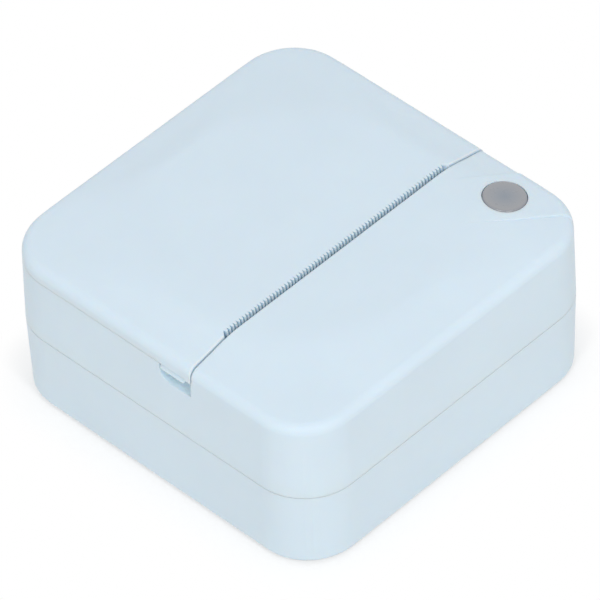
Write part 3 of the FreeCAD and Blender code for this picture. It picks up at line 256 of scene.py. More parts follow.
def paintNotchLight(tree, place, tint):
    s = notchLight
    # Painted light: lighter, bluer colour on the notch's inner walls
    x, y, z = (along(tree, place, axis) for axis in "XYZ")
    share = inLimits(tree, spread(tree, x, 0.0, 1.0, *s["depth"]), ("LESS_THAN", x, s["end"]),
                     ("GREATER_THAN", y, s["front"]), ("LESS_THAN", y, s["back"]),
                     ("GREATER_THAN", z, s["low"]))
    return mixColour(tree, share, tint, s["colour"])


def caseFinish(name):
    s = casePlastic
    finish, tree, shader, place = newFinish(name)
    cloud = noise(tree, place, s["cloud"], s["cloudDetail"])
    tint = tones(tree, cloud, shade(s["colour"], 1 - s["mottle"]), shade(s["colour"], 1 + s["mottle"]))
    edge = s["caseEdge"]
    if name == "lidBlue":
        tint = paintLidShadeAndHighlight(tree, place, tint)
        edge = lidEdge(tree, place)
    else:
        tint = paintNotchLight(tree, place, tint)
    paint(tree, shader, tint, spread(tree, noise(tree, place, s["roughCloud"]), *s["rough"]))
    grain = noise(tree, place, s["grain"], s["grainDetail"], s["grainRough"])
    relief(tree, shader, grain, s["grainDepth"], edge)
    shader.inputs["IOR"].default_value = s["refraction"]
    shader.inputs["Specular IOR Level"].default_value = s["sheen"]
    translucent(shader, s["glow"], s["glowRadius"])
    return finish


# Smoke-grey translucent button, bluer and darker towards its middle, with painted shade on its rounded edge
buttonSmoke = {
    # Painted shade: the last stop darkens the rounded edge
    "stops": [(0.0, (0.195, 0.232, 0.280)), (0.45, (0.240, 0.262, 0.296)), (0.88, (0.276, 0.284, 0.302)),
              (0.94, (0.246, 0.256, 0.284))],
    "radius": 0.0044, "rough": (0.26, 0.34), "roughCloud": 900.0, "grain": 2600.0, "grainDepth": 0.000002,
    "coat": 0.9, "coatRough": 0.1, "coatRefraction": 1.6,
}


def buttonFinish():
    s = buttonSmoke
    finish, tree, shader, place = newFinish("buttonGrey")
    low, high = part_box("button_cap")
    x, y, _ = middleOf(low, high)
    flat = vector2(tree, "MULTIPLY", place, (1.0, 1.0, 0.0))
    away = addNode(tree, "VectorMath", {0: flat, 1: (x, y, 0.0)}, operation="DISTANCE").outputs["Value"]
    share = math2(tree, "MULTIPLY", away, 1.0 / s["radius"])
    rough = spread(tree, noise(tree, place, s["roughCloud"]), *s["rough"])
    paint(tree, shader, ramp(tree, share, s["stops"]), rough)
    relief(tree, shader, noise(tree, place, s["grain"]), s["grainDepth"])
    shader.inputs["Coat Weight"].default_value = s["coat"]
    shader.inputs["Coat Roughness"].default_value = s["coatRough"]
    shader.inputs["Coat IOR"].default_value = s["coatRefraction"]
    return finish


# Moulded, turned and rolled stock: two tones, a grain with its own stretch, and how deep it is
stocks = {
    "wellPlastic": {
        "colour": (0.66, 0.73, 0.79), "other": (0.69, 0.755, 0.81), "rough": (0.42, 0.52), "cloud": 90.0,
        "grain": 3200.0, "depth": 0.000006, "edge": 0.0002, "glow": 0.1,
    },
    "carrierPlastic": {
        "colour": (0.052, 0.056, 0.062), "other": (0.075, 0.078, 0.084), "rough": (0.45, 0.6),
        "cloud": 700.0, "grain": 2600.0, "depth": 0.000010, "edge": 0.00015,
    },
    "platenRubber": {
        "colour": (0.018, 0.018, 0.019), "other": (0.030, 0.030, 0.031), "rough": (0.62, 0.78),
        "cloud": 220.0, "grain": 900.0, "stretch": (9.0, 1.0, 1.0), "depth": 0.000014, "edge": 0.0003,
    },
    "footRubber": {
        "colour": (0.030, 0.031, 0.033), "other": (0.062, 0.063, 0.066), "rough": (0.7, 0.86),
        "cloud": 600.0, "grain": 4200.0, "depth": 0.000012,
    },
    "zincScrew": {
        "colour": (0.60, 0.61, 0.63), "other": (0.50, 0.52, 0.56), "rough": (0.22, 0.36), "metal": 1.0,
        "cloud": 900.0, "grain": 3000.0, "depth": 0.000004,
    },
    "turnedSteel": {
        "colour": (0.66, 0.66, 0.67), "other": (0.58, 0.585, 0.60), "rough": (0.14, 0.28), "metal": 1.0,
        "cloud": 300.0, "grain": 500.0, "stretch": (14.0, 1.0, 1.0), "depth": 0.000004, "edge": 0.00012,
    },
    "springSteel": {
        "colour": (0.52, 0.50, 0.46), "other": (0.60, 0.59, 0.57), "rough": (0.2, 0.34), "metal": 1.0,
        "cloud": 400.0, "grain": 420.0, "stretch": (1.0, 1.0, 9.0), "depth": 0.000004, "edge": 0.0001,
    },
    "rolledSteel": {
        "colour": (0.60, 0.61, 0.62), "other": (0.68, 0.685, 0.69), "rough": (0.26, 0.42), "metal": 1.0,
        "cloud": 160.0, "grain": 260.0, "stretch": (1.0, 1.0, 12.0), "depth": 0.000006, "edge": 0.00015,
    },
    "motorCan": {
        "colour": (0.62, 0.62, 0.61), "other": (0.55, 0.56, 0.57), "rough": (0.24, 0.38), "metal": 1.0,
        "cloud": 240.0, "grain": 420.0, "stretch": (10.0, 1.0, 1.0), "depth": 0.000006, "edge": 0.0003,
    },
    "shieldCan": {
        "colour": (0.66, 0.665, 0.67), "other": (0.58, 0.585, 0.595), "rough": (0.2, 0.34), "metal": 1.0,
        "cloud": 500.0, "grain": 380.0, "stretch": (8.0, 1.0, 1.0), "depth": 0.000005, "edge": 0.0002,
    },
    "gearNylon": {
        "colour": (0.80, 0.785, 0.735), "other": (0.85, 0.84, 0.80), "rough": (0.34, 0.46), "cloud": 420.0,
        "grain": 2400.0, "depth": 0.000004, "edge": 0.00008, "glow": 0.2,
    },
    "pinionBrass": {
        "colour": (0.66, 0.50, 0.22), "other": (0.74, 0.58, 0.30), "rough": (0.2, 0.34), "metal": 1.0,
        "cloud": 600.0, "grain": 700.0, "stretch": (10.0, 1.0, 1.0), "depth": 0.000004, "edge": 0.00006,
    },
    "bushBronze": {
        "colour": (0.42, 0.30, 0.17), "other": (0.52, 0.38, 0.22), "rough": (0.34, 0.5), "metal": 1.0,
        "cloud": 1600.0, "grain": 3600.0, "depth": 0.000008, "edge": 0.0001,
    },
    "sinkAluminium": {
        "colour": (0.70, 0.71, 0.73), "other": (0.62, 0.63, 0.655), "rough": (0.26, 0.42), "metal": 1.0,
        "cloud": 200.0, "grain": 300.0, "stretch": (1.0, 12.0, 12.0), "depth": 0.000008, "edge": 0.0002,
    },
    "chipResin": {
        "colour": (0.016, 0.016, 0.018), "other": (0.028, 0.028, 0.030), "rough": (0.42, 0.6),
        "cloud": 1200.0, "grain": 5200.0, "depth": 0.000006, "edge": 0.0001,
    },
    "switchPlastic": {
        "colour": (0.022, 0.023, 0.025), "other": (0.034, 0.035, 0.037), "rough": (0.36, 0.5),
        "cloud": 900.0, "grain": 3600.0, "depth": 0.000005, "edge": 0.00012,
    },
    "plungerNylon": {
        "colour": (0.30, 0.28, 0.25), "other": (0.36, 0.34, 0.31), "rough": (0.38, 0.5), "cloud": 900.0,
        "grain": 3200.0, "depth": 0.000004, "edge": 0.0001, "glow": 0.1,
    },
    "lampResin": {
        "colour": (0.86, 0.80, 0.46), "other": (0.90, 0.87, 0.66), "rough": (0.16, 0.26), "cloud": 1500.0,
        "grain": 2800.0, "depth": 0.000003, "edge": 0.00012, "glow": 0.3,
    },
    "plugNylon": {
        "colour": (0.78, 0.75, 0.67), "other": (0.83, 0.80, 0.73), "rough": (0.4, 0.52), "cloud": 600.0,
        "grain": 700.0, "stretch": (6.0, 1.0, 1.0), "depth": 0.000012, "edge": 0.00012, "glow": 0.1,
    },
    "tapeFoam": {
        "colour": (0.50, 0.49, 0.46), "other": (0.64, 0.63, 0.60), "rough": (0.84, 0.96), "cloud": 1400.0,
        "grain": 2400.0, "depth": 0.00004,
    },
    "leadJacket": {
        "colour": (0.055, 0.056, 0.060), "other": (0.085, 0.086, 0.090), "rough": (0.42, 0.56),
        "cloud": 500.0, "grain": 1500.0, "depth": 0.000008,
    },
    "lensGlass": {
        "colour": (0.020, 0.022, 0.030), "other": (0.045, 0.030, 0.040), "rough": (0.05, 0.10),
        "cloud": 900.0, "grain": 900.0, "depth": 0.000001,
    },
    "contactGold": {
        "colour": (0.80, 0.60, 0.26), "other": (0.72, 0.52, 0.21), "rough": (0.18, 0.3), "metal": 1.0,
        "cloud": 1800.0, "grain": 900.0, "stretch": (6.0, 1.0, 1.0), "depth": 0.000002,
    },
}
stockGrain = {"detail": 3.0, "rough": 0.6, "tones": (0.32, 0.68), "glowRadius": (0.0010, 0.0009, 0.0008)}


def stockFinish(name):
    s = stocks[name]
    g = stockGrain
    finish, tree, shader, place = newFinish(name, s.get("metal", 0.0))
    stretched = vector2(tree, "MULTIPLY", place, s.get("stretch", (1.0, 1.0, 1.0)))
    grain = noise(tree, stretched, s["grain"], g["detail"], g["rough"])
    tint = tones(tree, noise(tree, place, s["cloud"], g["detail"]), s["colour"], s["other"], *g["tones"])
    paint(tree, shader, tint, spread(tree, grain, *s["rough"]))
    relief(tree, shader, grain, s["depth"], s.get("edge", 0.0))
    if "glow" in s:
        translucent(shader, s["glow"], g["glowRadius"])
    return finish


# Green circuit board: tracks under the mask, bare tinned pads
circuit = {
    "mask": (0.010, 0.085, 0.040), "track": (0.022, 0.140, 0.065), "tin": (0.62, 0.60, 0.55),
    "trackScale": 620.0, "trackWidth": 0.10, "trackRandom": 0.35,
    "padScale": 480.0, "padSize": 0.16, "padRandom": 0.6,
    "rough": (0.26, 0.40), "roughCloud": 2000.0, "depth": 0.00002, "edge": 0.0001,
}


def boardFinish():
    s = circuit
    finish, tree, shader, place = newFinish("boardGreen")
    edges = cells(tree, place, s["trackScale"], "DISTANCE_TO_EDGE", s["trackRandom"])
    tracks = math2(tree, "LESS_THAN", edges, s["trackWidth"])
    pads = math2(tree, "LESS_THAN", cells(tree, place, s["padScale"], "F1", s["padRandom"]), s["padSize"])
    tint = mixColour(tree, pads, mixColour(tree, tracks, s["mask"], s["track"]), s["tin"])
    paint(tree, shader, tint, spread(tree, noise(tree, place, s["roughCloud"]), *s["rough"]))
    tree.links.new(pads, shader.inputs["Metallic"])
    relief(tree, shader, math2(tree, "ADD", tracks, pads), s["depth"], s["edge"])
    return finish


# Alumina head: glaze band, dark heater line and gold comb below it, all across the paper
headCeramic = {
    "ceramic": (0.78, 0.77, 0.73), "mottle": 0.94, "cloud": 800.0,
    "glaze": (0.50, 0.36, 0.20), "band": 0.0007, "heater": (0.05, 0.035, 0.03), "line": 0.00009,
    "gold": (0.72, 0.52, 0.22), "goldMetal": 0.8,
    "comb": 0.0045, "combPitch": 0.00025, "combShare": 0.55,
    "rough": (0.2, 0.34), "roughCloud": 1800.0, "depth": 0.00001, "edge": 0.0001,
}


def ceramicFinish():
    s = headCeramic
    finish, tree, shader, place = newFinish("headCeramic")
    low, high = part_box("platen_shaft")
    up = math2(tree, "SUBTRACT", along(tree, place, "Z"), middleOf(low, high)[2])
    away = math2(tree, "ABSOLUTE", up)
    tint = tones(tree, noise(tree, place, s["cloud"]), shade(s["ceramic"], s["mottle"]), s["ceramic"])
    comb = inLimits(tree, stripes(tree, place, "X", s["combPitch"], s["combShare"]), ("LESS_THAN", up, 0.0),
                    ("GREATER_THAN", up, -s["comb"]))
    tint = mixColour(tree, comb, tint, s["gold"])
    tint = mixColour(tree, math2(tree, "LESS_THAN", away, s["band"]), tint, s["glaze"])
    tint = mixColour(tree, math2(tree, "LESS_THAN", away, s["line"]), tint, s["heater"])
    paint(tree, shader, tint, spread(tree, noise(tree, place, s["roughCloud"]), *s["rough"]))
    tree.links.new(math2(tree, "MULTIPLY", comb, s["goldMetal"]), shader.inputs["Metallic"])
    relief(tree, shader, comb, s["depth"], s["edge"])
    return finish


# Flat cable: copper tracks under amber film
ribbonFilm = {
    "film": (0.46, 0.20, 0.045), "mottle": 0.85, "cloud": 500.0, "copper": (0.62, 0.33, 0.14), "pitch": 0.001,
    "share": 0.6, "rough": (0.22, 0.36), "roughCloud": 1600.0, "depth": 0.00002,
}


def ribbonFinish():
    s = ribbonFilm
    finish, tree, shader, place = newFinish("ribbonAmber")
    tracks = stripes(tree, place, "X", s["pitch"], s["share"])
    film = tones(tree, noise(tree, place, s["cloud"]), shade(s["film"], s["mottle"]), s["film"])
    rough = spread(tree, noise(tree, place, s["roughCloud"]), *s["rough"])
    paint(tree, shader, mixColour(tree, tracks, film, s["copper"]), rough)
    relief(tree, shader, tracks, s["depth"])
    return finish


# Pouch cell: crinkled aluminium film
pouchFilm = {
    "dull": (0.46, 0.47, 0.49), "bright": (0.60, 0.61, 0.63), "tones": (0.2, 0.8), "metal": 0.9, "bend": 90.0,
    "crease": 260.0, "depth": 0.00009, "edge": 0.0004, "rough": (0.3, 0.46), "roughCloud": 700.0,
}


def pouchFinish():
    s = pouchFilm
    finish, tree, shader, place = newFinish("cellFoil", s["metal"])
    bend = addNode(tree, "TexNoise", {"Vector": place, "Scale": s["bend"]}).outputs["Color"]
    crease = cells(tree, vector2(tree, "ADD", place, bend), s["crease"], "SMOOTH_F1")
    tint = tones(tree, crease, s["dull"], s["bright"], *s["tones"])
    paint(tree, shader, tint, spread(tree, noise(tree, place, s["roughCloud"]), *s["rough"]))
    relief(tree, shader, crease, s["depth"], s["edge"])
    return finish


# Leads: one colour to each wire, side by side along an axis, all a little worn
leadColours = {
    "batteryLeads": {
        "axis": "X", "node": "battery_leads",
        "colours": [(0.50, 0.020, 0.018), (0.016, 0.016, 0.018)],
    },
    "motorLeads": {
        "axis": "Z", "node": "motor_leads",
        "colours": [(0.62, 0.30, 0.03), (0.55, 0.50, 0.06), (0.42, 0.025, 0.022), (0.02, 0.06, 0.30)],
    },
}
leadSkin = {
    "worn": (0.86, 0.86, 0.86), "clean": (1.0, 1.0, 1.0), "cloud": 900.0, "rough": (0.36, 0.52),
    "roughCloud": 1500.0, "depth": 0.0003,
}


def leadFinish(name):
    s = leadColours[name]
    k = leadSkin
    finish, tree, shader, place = newFinish(name)
    low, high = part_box(s["node"])
    axis = "XYZ".index(s["axis"])
    count = len(s["colours"])
    share = spread(tree, along(tree, place, s["axis"]), 0.0, 1.0, low[axis], high[axis])
    tint = ramp(tree, share, [(index / count, colour) for index, colour in enumerate(s["colours"])], True)
    wires = math2(tree, "FRACT", math2(tree, "MULTIPLY", share, count))
    dome = math2(tree, "SINE", math2(tree, "MULTIPLY", wires, math.pi))
    worn = tones(tree, noise(tree, place, k["cloud"]), k["worn"], k["clean"])
    shaded = addNode(tree, "MixRGB", {"Fac": 1.0, "Color1": tint, "Color2": worn}, blend_type="MULTIPLY")
    rough = spread(tree, noise(tree, place, k["roughCloud"]), *k["rough"])
    paint(tree, shader, shaded.outputs["Color"], rough)
    relief(tree, shader, dome, k["depth"])
    return finish


# Charge socket: drawn nickel shell with a black tongue
socketShell = {
    "nickel": (0.66, 0.655, 0.64), "mottle": 0.9, "grain": 1200.0, "grainDetail": 3.0, "rough": (0.18, 0.34),
    "depth": 0.000004, "edge": 0.0001, "tongue": (0.016, 0.016, 0.018), "halfTongue": 0.00045,
    "halfWidth": 0.0031,
}


def socketFinish():
    s = socketShell
    finish, tree, shader, place = newFinish("socketNickel")
    low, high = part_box("charge_socket")
    off = vector2(tree, "ABSOLUTE", vector2(tree, "SUBTRACT", place, middleOf(low, high)))
    inside = inLimits(tree, 1.0, ("LESS_THAN", along(tree, off, "Z"), s["halfTongue"]),
                      ("LESS_THAN", along(tree, off, "X"), s["halfWidth"]))
    drawn = noise(tree, place, s["grain"], s["grainDetail"])
    nickel = tones(tree, drawn, shade(s["nickel"], s["mottle"]), s["nickel"])
    paint(tree, shader, mixColour(tree, inside, nickel, s["tongue"]), spread(tree, drawn, *s["rough"]))
    tree.links.new(math2(tree, "SUBTRACT", 1.0, inside), shader.inputs["Metallic"])
    relief(tree, shader, drawn, s["depth"], s["edge"])
    return finish


dressing = {
    "caseBlue": ["base_shell", "upper_shell"],
    "lidBlue": ["lid_cover"],
    "buttonGrey": ["button_cap"],
    "wellPlastic": ["paper_well"],
    "carrierPlastic": ["platen_carrier"],
    "platenRubber": ["platen_rubber"],
    "footRubber": ["rubber_feet"],
    "zincScrew": ["case_screws", "button_board_screws", "deck_screws", "carrier_screws", "frame_screws",
                  "motor_screws", "charge_board_screws"],
    "turnedSteel": ["hinge_pins", "platen_shaft", "motor_shaft", "gear_studs", "head_pivot_pin"],
    "springSteel": ["head_spring"],
    "rolledSteel": ["mechanism_frame"],
    "motorCan": ["stepper_motor"],
    "shieldCan": ["radio_module"],
    "gearNylon": ["platen_gear", "idler_gear", "reduction_gear"],
    "pinionBrass": ["motor_pinion"],
    "bushBronze": ["platen_bushes"],
    "sinkAluminium": ["head_heat_sink"],
    "headCeramic": ["head_substrate"],
    "chipResin": ["head_driver_cover", "board_chips"],
    "switchPlastic": ["tact_switch", "paper_sensor"],
    "plungerNylon": ["switch_plunger"],
    "lampResin": ["status_light"],
    "plugNylon": ["head_connector", "board_connectors", "charge_plug"],
    "boardGreen": ["main_board", "button_board", "charge_board"],
    "cellFoil": ["battery_cell"],
    "tapeFoam": ["battery_tape"],
    "batteryLeads": ["battery_leads"],
    "motorLeads": ["motor_leads"],
    "leadJacket": ["charge_leads"],
    "ribbonAmber": ["head_ribbon"],
    "socketNickel": ["charge_socket"],
}
finishes = {
    "caseBlue": caseFinish("caseBlue"),
    "lidBlue": caseFinish("lidBlue"),
    "buttonGrey": buttonFinish(),
    "boardGreen": boardFinish(),
    "headCeramic": ceramicFinish(),
    "ribbonAmber": ribbonFinish(),
    "cellFoil": pouchFinish(),
    "socketNickel": socketFinish(),
}
finishes.update({name: leadFinish(name) for name in leadColours})
finishes.update({name: stockFinish(name) for name in stocks})
for name, worn in dressing.items():
    for node in worn:
        nodes[node].data.materials.clear()
        nodes[node].data.materials.append(finishes[name])
print("finishes:", len(finishes), "on", sum(len(worn) for worn in dressing.values()), "nodes")


def weldedMesh(node):
    built = bmesh.new()
    built.from_mesh(nodes[node].data)
    bmesh.ops.remove_doubles(built, verts=built.verts, dist=common["weld"])
    return built


def islands(node):
    # Boxes of a node's separate solids, as lowest and highest corners, always in the same order.
    built = weldedMesh(node)
    left = set(built.verts)
    boxes = []
    while left:
        front = [left.pop()]
        points = [front[0].co.copy()]
        while front:
            for link in front.pop().link_edges:
                for vert in link.verts:
                    if vert in left:
                        left.remove(vert)
                        front.append(vert)
                        points.append(vert.co.copy())
        boxes.append([Vector([pick(point[k] for point in points) for k in range(3)]) for pick in (min, max)])
    built.free()
    return sorted(boxes, key=lambda box: tuple(box[0]))


def addRings(built, rings, place=Matrix(), caps=True):
    rows = [[built.verts.new(place @ Vector(point)) for point in ring] for ring in rings]
    count = len(rows[0])
    for low, high in zip(rows, rows[1:]):
        for k in range(count):
            built.faces.new((low[k], low[(k + 1) % count], high[(k + 1) % count], high[k]))
    if caps:
        built.faces.new(list(reversed(rows[0])))
        built.faces.new(rows[-1])


def circle(radius, z, count):
    steps = [2 * math.pi * k / count for k in range(count)]
    return [(radius * math.cos(a), radius * math.sin(a), z) for a in steps]


def bodyOf(node):
    return body_of(nodes[node])[0]


def newPiece(name, built, finish, body, stands=()):
    bmesh.ops.recalc_face_normals(built, faces=built.faces)
    mesh = bpy.data.meshes.new(name)
    built.to_mesh(mesh)
    built.free()
    mesh.polygons.foreach_set("use_smooth", [True] * len(mesh.polygons))
    mesh.set_sharp_from_angle(angle=math.radians(common["smoothAngle"]))
    mesh.materials.append(finishes[finish])
    piece = bpy.data.objects.new(name, mesh)
    bpy.context.scene.collection.objects.link(piece)
    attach(piece, body)
    if stands:
        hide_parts(*stands)
    return piece


# Screws: pan head with a cross recess and a rolled thread with a blunt point
screwForm = {
    "count": 40, "pitch": 0.0005, "threadDepth": 0.00016, "rows": 6, "fewestRows": 6, "tip": 0.35,
    "point": 0.0007, "armWidth": 0.15, "armLength": 0.52, "recess": 0.55, "recessTaper": 0.72,
    "head": [(1.0, 0.0), (1.0, 0.5), (0.97, 0.72), (0.88, 0.9), (0.74, 0.98), (0.62, 1.0)],
}

# The axis of each row of screws, the side of their heads, and the head's height and shank's radius
screwRows = {
    "deck_screws": {"axis": 2, "side": 1, "head": 0.0010, "shank": 0.0008},
    "carrier_screws": {"axis": 2, "side": -1, "head": 0.0010, "shank": 0.0008},
    "button_board_screws": {"axis": 2, "side": -1, "head": 0.0010, "shank": 0.0008},
    "frame_screws": {"axis": 2, "side": 1, "head": 0.0010, "shank": 0.0008},
    "charge_board_screws": {"axis": 2, "side": 1, "head": 0.0010, "shank": 0.0008},
    "motor_screws": {"axis": 0, "side": 1, "head": 0.0010, "shank": 0.0008},
    "case_screws": {"axis": 2, "side": -1, "head": 0.0014, "shank": 0.00085},
}


def crossRing(radius, z, scale):
    s = screwForm
    width, length = radius * s["armWidth"] * scale, radius * s["armLength"] * scale
    ring = []
    for k in range(s["count"]):
        a = 2 * math.pi * k / s["count"]
        fold = (a + math.pi / 4) % (math.pi / 2) - math.pi / 4
        if abs(math.tan(fold)) <= width / length:
            reach = length / math.cos(fold)
        else:
            reach = width / abs(math.sin(fold))
        ring.append((reach * math.cos(a), reach * math.sin(a), z))
    return ring


def screwRings(headRadius, headHeight, shankRadius, length):
    s = screwForm
    count = s["count"]
    rows = max(s["fewestRows"], round(length / s["pitch"] * s["rows"]))
    rings = []
    for row in range(rows + 1):
        z = -length + length * row / rows
        fit = min(1.0, s["tip"] + (1 - s["tip"]) * (z + length) / s["point"])
        ring = []
        for k in range(count):
            a = 2 * math.pi * k / count
            crest = abs((z / s["pitch"] - k / count) % 1.0 * 2 - 1)
            radius = (shankRadius - s["threadDepth"] * crest) * fit
            ring.append((radius * math.cos(a), radius * math.sin(a), z))
        rings.append(ring)
    rings += [circle(headRadius * r, headHeight * z, count) for r, z in s["head"]]
    rings.append(crossRing(headRadius, headHeight, 1.0))
    rings.append(crossRing(headRadius, headHeight * (1 - s["recess"]), s["recessTaper"]))
    return rings


def makeScrews(node):
    s = screwRows[node]
    axis = Vector([1.0 if k == s["axis"] else 0.0 for k in range(3)]) * s["side"]
    across = [k for k in range(3) if k != s["axis"]][0]
    built = bmesh.new()
    for low, high in islands(node):
        headRadius = (high[across] - low[across]) / 2
        length = high[s["axis"]] - low[s["axis"]] - s["head"]
        seat = (low + high) / 2
        seat[s["axis"]] = (high if s["side"] > 0 else low)[s["axis"]] - s["side"] * s["head"]
        place = Matrix.Translation(seat) @ axis.to_track_quat("Z", "Y").to_matrix().to_4x4()
        addRings(built, screwRings(headRadius, s["head"], s["shank"], length), place)
    words = node.split("_")
    name = words[0] + "".join(word.title() for word in words[1:])
    newPiece(name, built, "zincScrew", bodyOf(node), (node,))


for node in screwRows:
    makeScrews(node)
print("screws:", len(screwRows), "rows")

# Button cap: lies along the pad, with a round edge, a steep side and a faint dish for the fingertip
buttonForm = {
    "count": 120, "edge": 0.0004, "edgeSteps": 14, "edgeTurn": 55.0, "edgeInset": 0.00043,
    "sideOut": 0.00006, "sideDrop": 0.0004, "dish": 0.00006, "inner": (0.94, 0.80, 0.62, 0.44, 0.26, 0.10),
    "flange": 0.00075, "guideZ": 0.0340, "flangeZ": 0.0330, "stem": 0.0020, "probe": 0.6, "probeFrom": 1.0,
}


def makeButton():
    s = buttonForm
    low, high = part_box("button_cap")
    x, y, _ = middleOf(low, high)
    radius = (high[0] - low[0]) / 2 - s["flange"]
    probe = s["probe"] * radius

    def heightAt(dx, dy):
        above = Vector((x + dx, y + dy, s["probeFrom"]))
        return nodes["button_cap"].ray_cast(above, Vector((0, 0, -1)))[1].z

    level = heightAt(0, 0)
    slopeX = (heightAt(probe, 0) - heightAt(-probe, 0)) / (2 * probe)
    slopeY = (heightAt(0, probe) - heightAt(0, -probe)) / (2 * probe)

    def onTop(r, drop):
        ring = circle(r, 0, s["count"])
        return [(px, py, level + slopeX * px + slopeY * py - drop) for px, py, _ in ring]

    flangeRadius = radius + s["flange"]
    profile = [(s["stem"], low[2]), (s["stem"], s["flangeZ"]), (flangeRadius, s["flangeZ"]),
               (flangeRadius, s["guideZ"]), (radius, s["guideZ"])]
    rings = [circle(r, z, s["count"]) for r, z in profile]
    rings.append(onTop(radius + s["sideOut"], s["sideDrop"]))
    flat = radius - s["edgeInset"]
    for k in range(s["edgeSteps"] + 1):
        a = math.radians(s["edgeTurn"]) * (1 - k / s["edgeSteps"])
        rings.append(onTop(flat + s["edge"] * math.sin(a), s["edge"] * (1 - math.cos(a))))
    rings += [onTop(flat * share, s["dish"] * (1 - share * share)) for share in s["inner"]]
    built = bmesh.new()
    addRings(built, rings, Matrix.Translation((x, y, 0)))
    newPiece("buttonCap", built, "buttonGrey", bodyOf("button_cap"), ("button_cap",))


makeButton()

# Head spring: stamped leaf that gives way as the head tilts back onto it; the mesh only has its sharp edges
# rounded and does not bend
leafForm = {"edge": 0.00004, "edgeSteps": 2, "sharpTurn": 1.0, "pivotZ": 0.0143, "tilt": 2.0}


def makeLeaf():
    s = leafForm
    built = weldedMesh("head_spring")
    sharp = [edge for edge in built.edges
             if len(edge.link_faces) == 2 and edge.calc_face_angle() > s["sharpTurn"]]
    bmesh.ops.bevel(built, geom=sharp, offset=s["edge"], segments=s["edgeSteps"], affect="EDGES",
                    clamp_overlap=True)
    piece = newPiece("headLeaf", built, "springSteel", bodyOf("head_spring"), ("head_spring",))
    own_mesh(piece)


makeLeaf()

# Rubber feet: soft edge and a dished sole with a raised ring
footForm = {
    "count": 56,
    "sole": [(0.10, 0.00016), (0.42, 0.00014), (0.52, 0.00002), (0.60, 0.0), (0.84, 0.0), (0.92, 0.00004),
             (0.98, 0.00016), (1.0, 0.00034)],
}


def makeFeet():
    s = footForm
    built = bmesh.new()
    for low, high in islands("rubber_feet"):
        x, y, _ = middleOf(low, high)
        radius = (high.x - low.x) / 2
        profile = [(radius * r, z) for r, z in s["sole"]] + [(radius, high.z - low.z)]
        rings = [circle(r, z, s["count"]) for r, z in profile]
        addRings(built, rings, Matrix.Translation((x, y, low.z)))
    newPiece("rubberFeet", built, "footRubber", bodyOf("rubber_feet"), ("rubber_feet",))


makeFeet()

# Gear hubs: a raised ring around each bore on the outer face, between two radii
hubForm = {
    "count": 48, "rise": 0.00018, "sink": 0.00005, "innerRound": 0.0001, "innerLift": 0.7,
    "outerRound": 0.0002, "outerLift": 0.6, "flare": 0.0001,
    "gears": {"platen_gear": (0.00155, 0.0029), "idler_gear": (0.00195, 0.0040)},
}


def makeHub(node):
    s = hubForm
    inner, outer = s["gears"][node]
    low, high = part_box(node)
    _, y, z = middleOf(low, high)
    place = Matrix.Translation((high[0], y, z)) @ Matrix.Rotation(math.pi / 2, 4, "Y")
    profile = [(inner, -s["sink"]), (inner, s["rise"] * s["innerLift"]), (inner + s["innerRound"], s["rise"]),
               (outer - s["outerRound"], s["rise"]), (outer, s["rise"] * s["outerLift"]),
               (outer + s["flare"], -s["sink"])]
    built = bmesh.new()
    addRings(built, [circle(r, z, s["count"]) for r, z in profile], place, caps=False)
    newPiece(node.split("_")[0] + "Hub", built, "gearNylon", bodyOf(node))


for node in hubForm["gears"]:
    makeHub(node)


def addSlab(built, low, high, chamfer):
    # A flat block with its upper edges broken.
    def ring(inset, z):
        return [(low[0] + inset, low[1] + inset, z), (high[0] - inset, low[1] + inset, z),
                (high[0] - inset, high[1] - inset, z), (low[0] + inset, high[1] - inset, z)]
    addRings(built, [ring(0, low[2]), ring(0, high[2] - chamfer), ring(chamfer, high[2])])


# Charge socket contacts: gold fingers on both faces of the tongue
contactForm = {
    "count": 8, "pitch": 0.00065, "width": 0.00030, "rise": 0.00004, "tongue": 0.0004, "from": 0.0012,
    "to": 0.0048,
}


def makeContacts():
    s = contactForm
    low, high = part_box("charge_socket")
    x, _, z = middleOf(low, high)
    built = bmesh.new()
    for side in (-1, 1):
        for k in range(s["count"]):
            middle = x + (k - (s["count"] - 1) / 2) * s["pitch"]
            levels = sorted(z + side * (s["tongue"] + shift) for shift in (-s["rise"], s["rise"]))
            addSlab(built, (middle - s["width"] / 2, high[1] - s["to"], levels[0]),
                    (middle + s["width"] / 2, high[1] - s["from"], levels[1]), s["rise"] / 2)
    newPiece("socketContacts", built, "contactGold", bodyOf("charge_socket"))


makeContacts()

# Paper sensor: lamp and detector lenses, each a dome in a collar
lensForm = {
    "count": 32, "spacing": 0.0018,
    "profile": [(0.00062, -0.00004), (0.00062, 0.00006), (0.00052, 0.00010), (0.00046, 0.00006),
                (0.00036, 0.00012), (0.00018, 0.00016)],
}


def makeLenses():
    s = lensForm
    low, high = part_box("paper_sensor")
    x, y, _ = middleOf(low, high)
    built = bmesh.new()
    for side in (-1, 1):
        place = Matrix.Translation((x + side * s["spacing"] / 2, y, high[2]))
        addRings(built, [circle(r, z, s["count"]) for r, z in s["profile"]], place)
    newPiece("sensorLenses", built, "lensGlass", bodyOf("paper_sensor"))


makeLenses()

# Rails in the paper well that the roll turns on: across each, its crown; along each, a run-out at both ends
railForm = {
    "radius": 0.0156, "axis": (0.01665, 0.0195), "places": (-0.024, -0.012, 0.0, 0.012, 0.024),
    "half": 0.0004, "rise": 0.00028, "sink": 0.0001, "sweep": (-168, -12), "steps": 48, "runOut": 12,
    "crown": [(-0.9, 0.7), (-0.5, 1.0), (0.5, 1.0), (0.9, 0.7)],
}


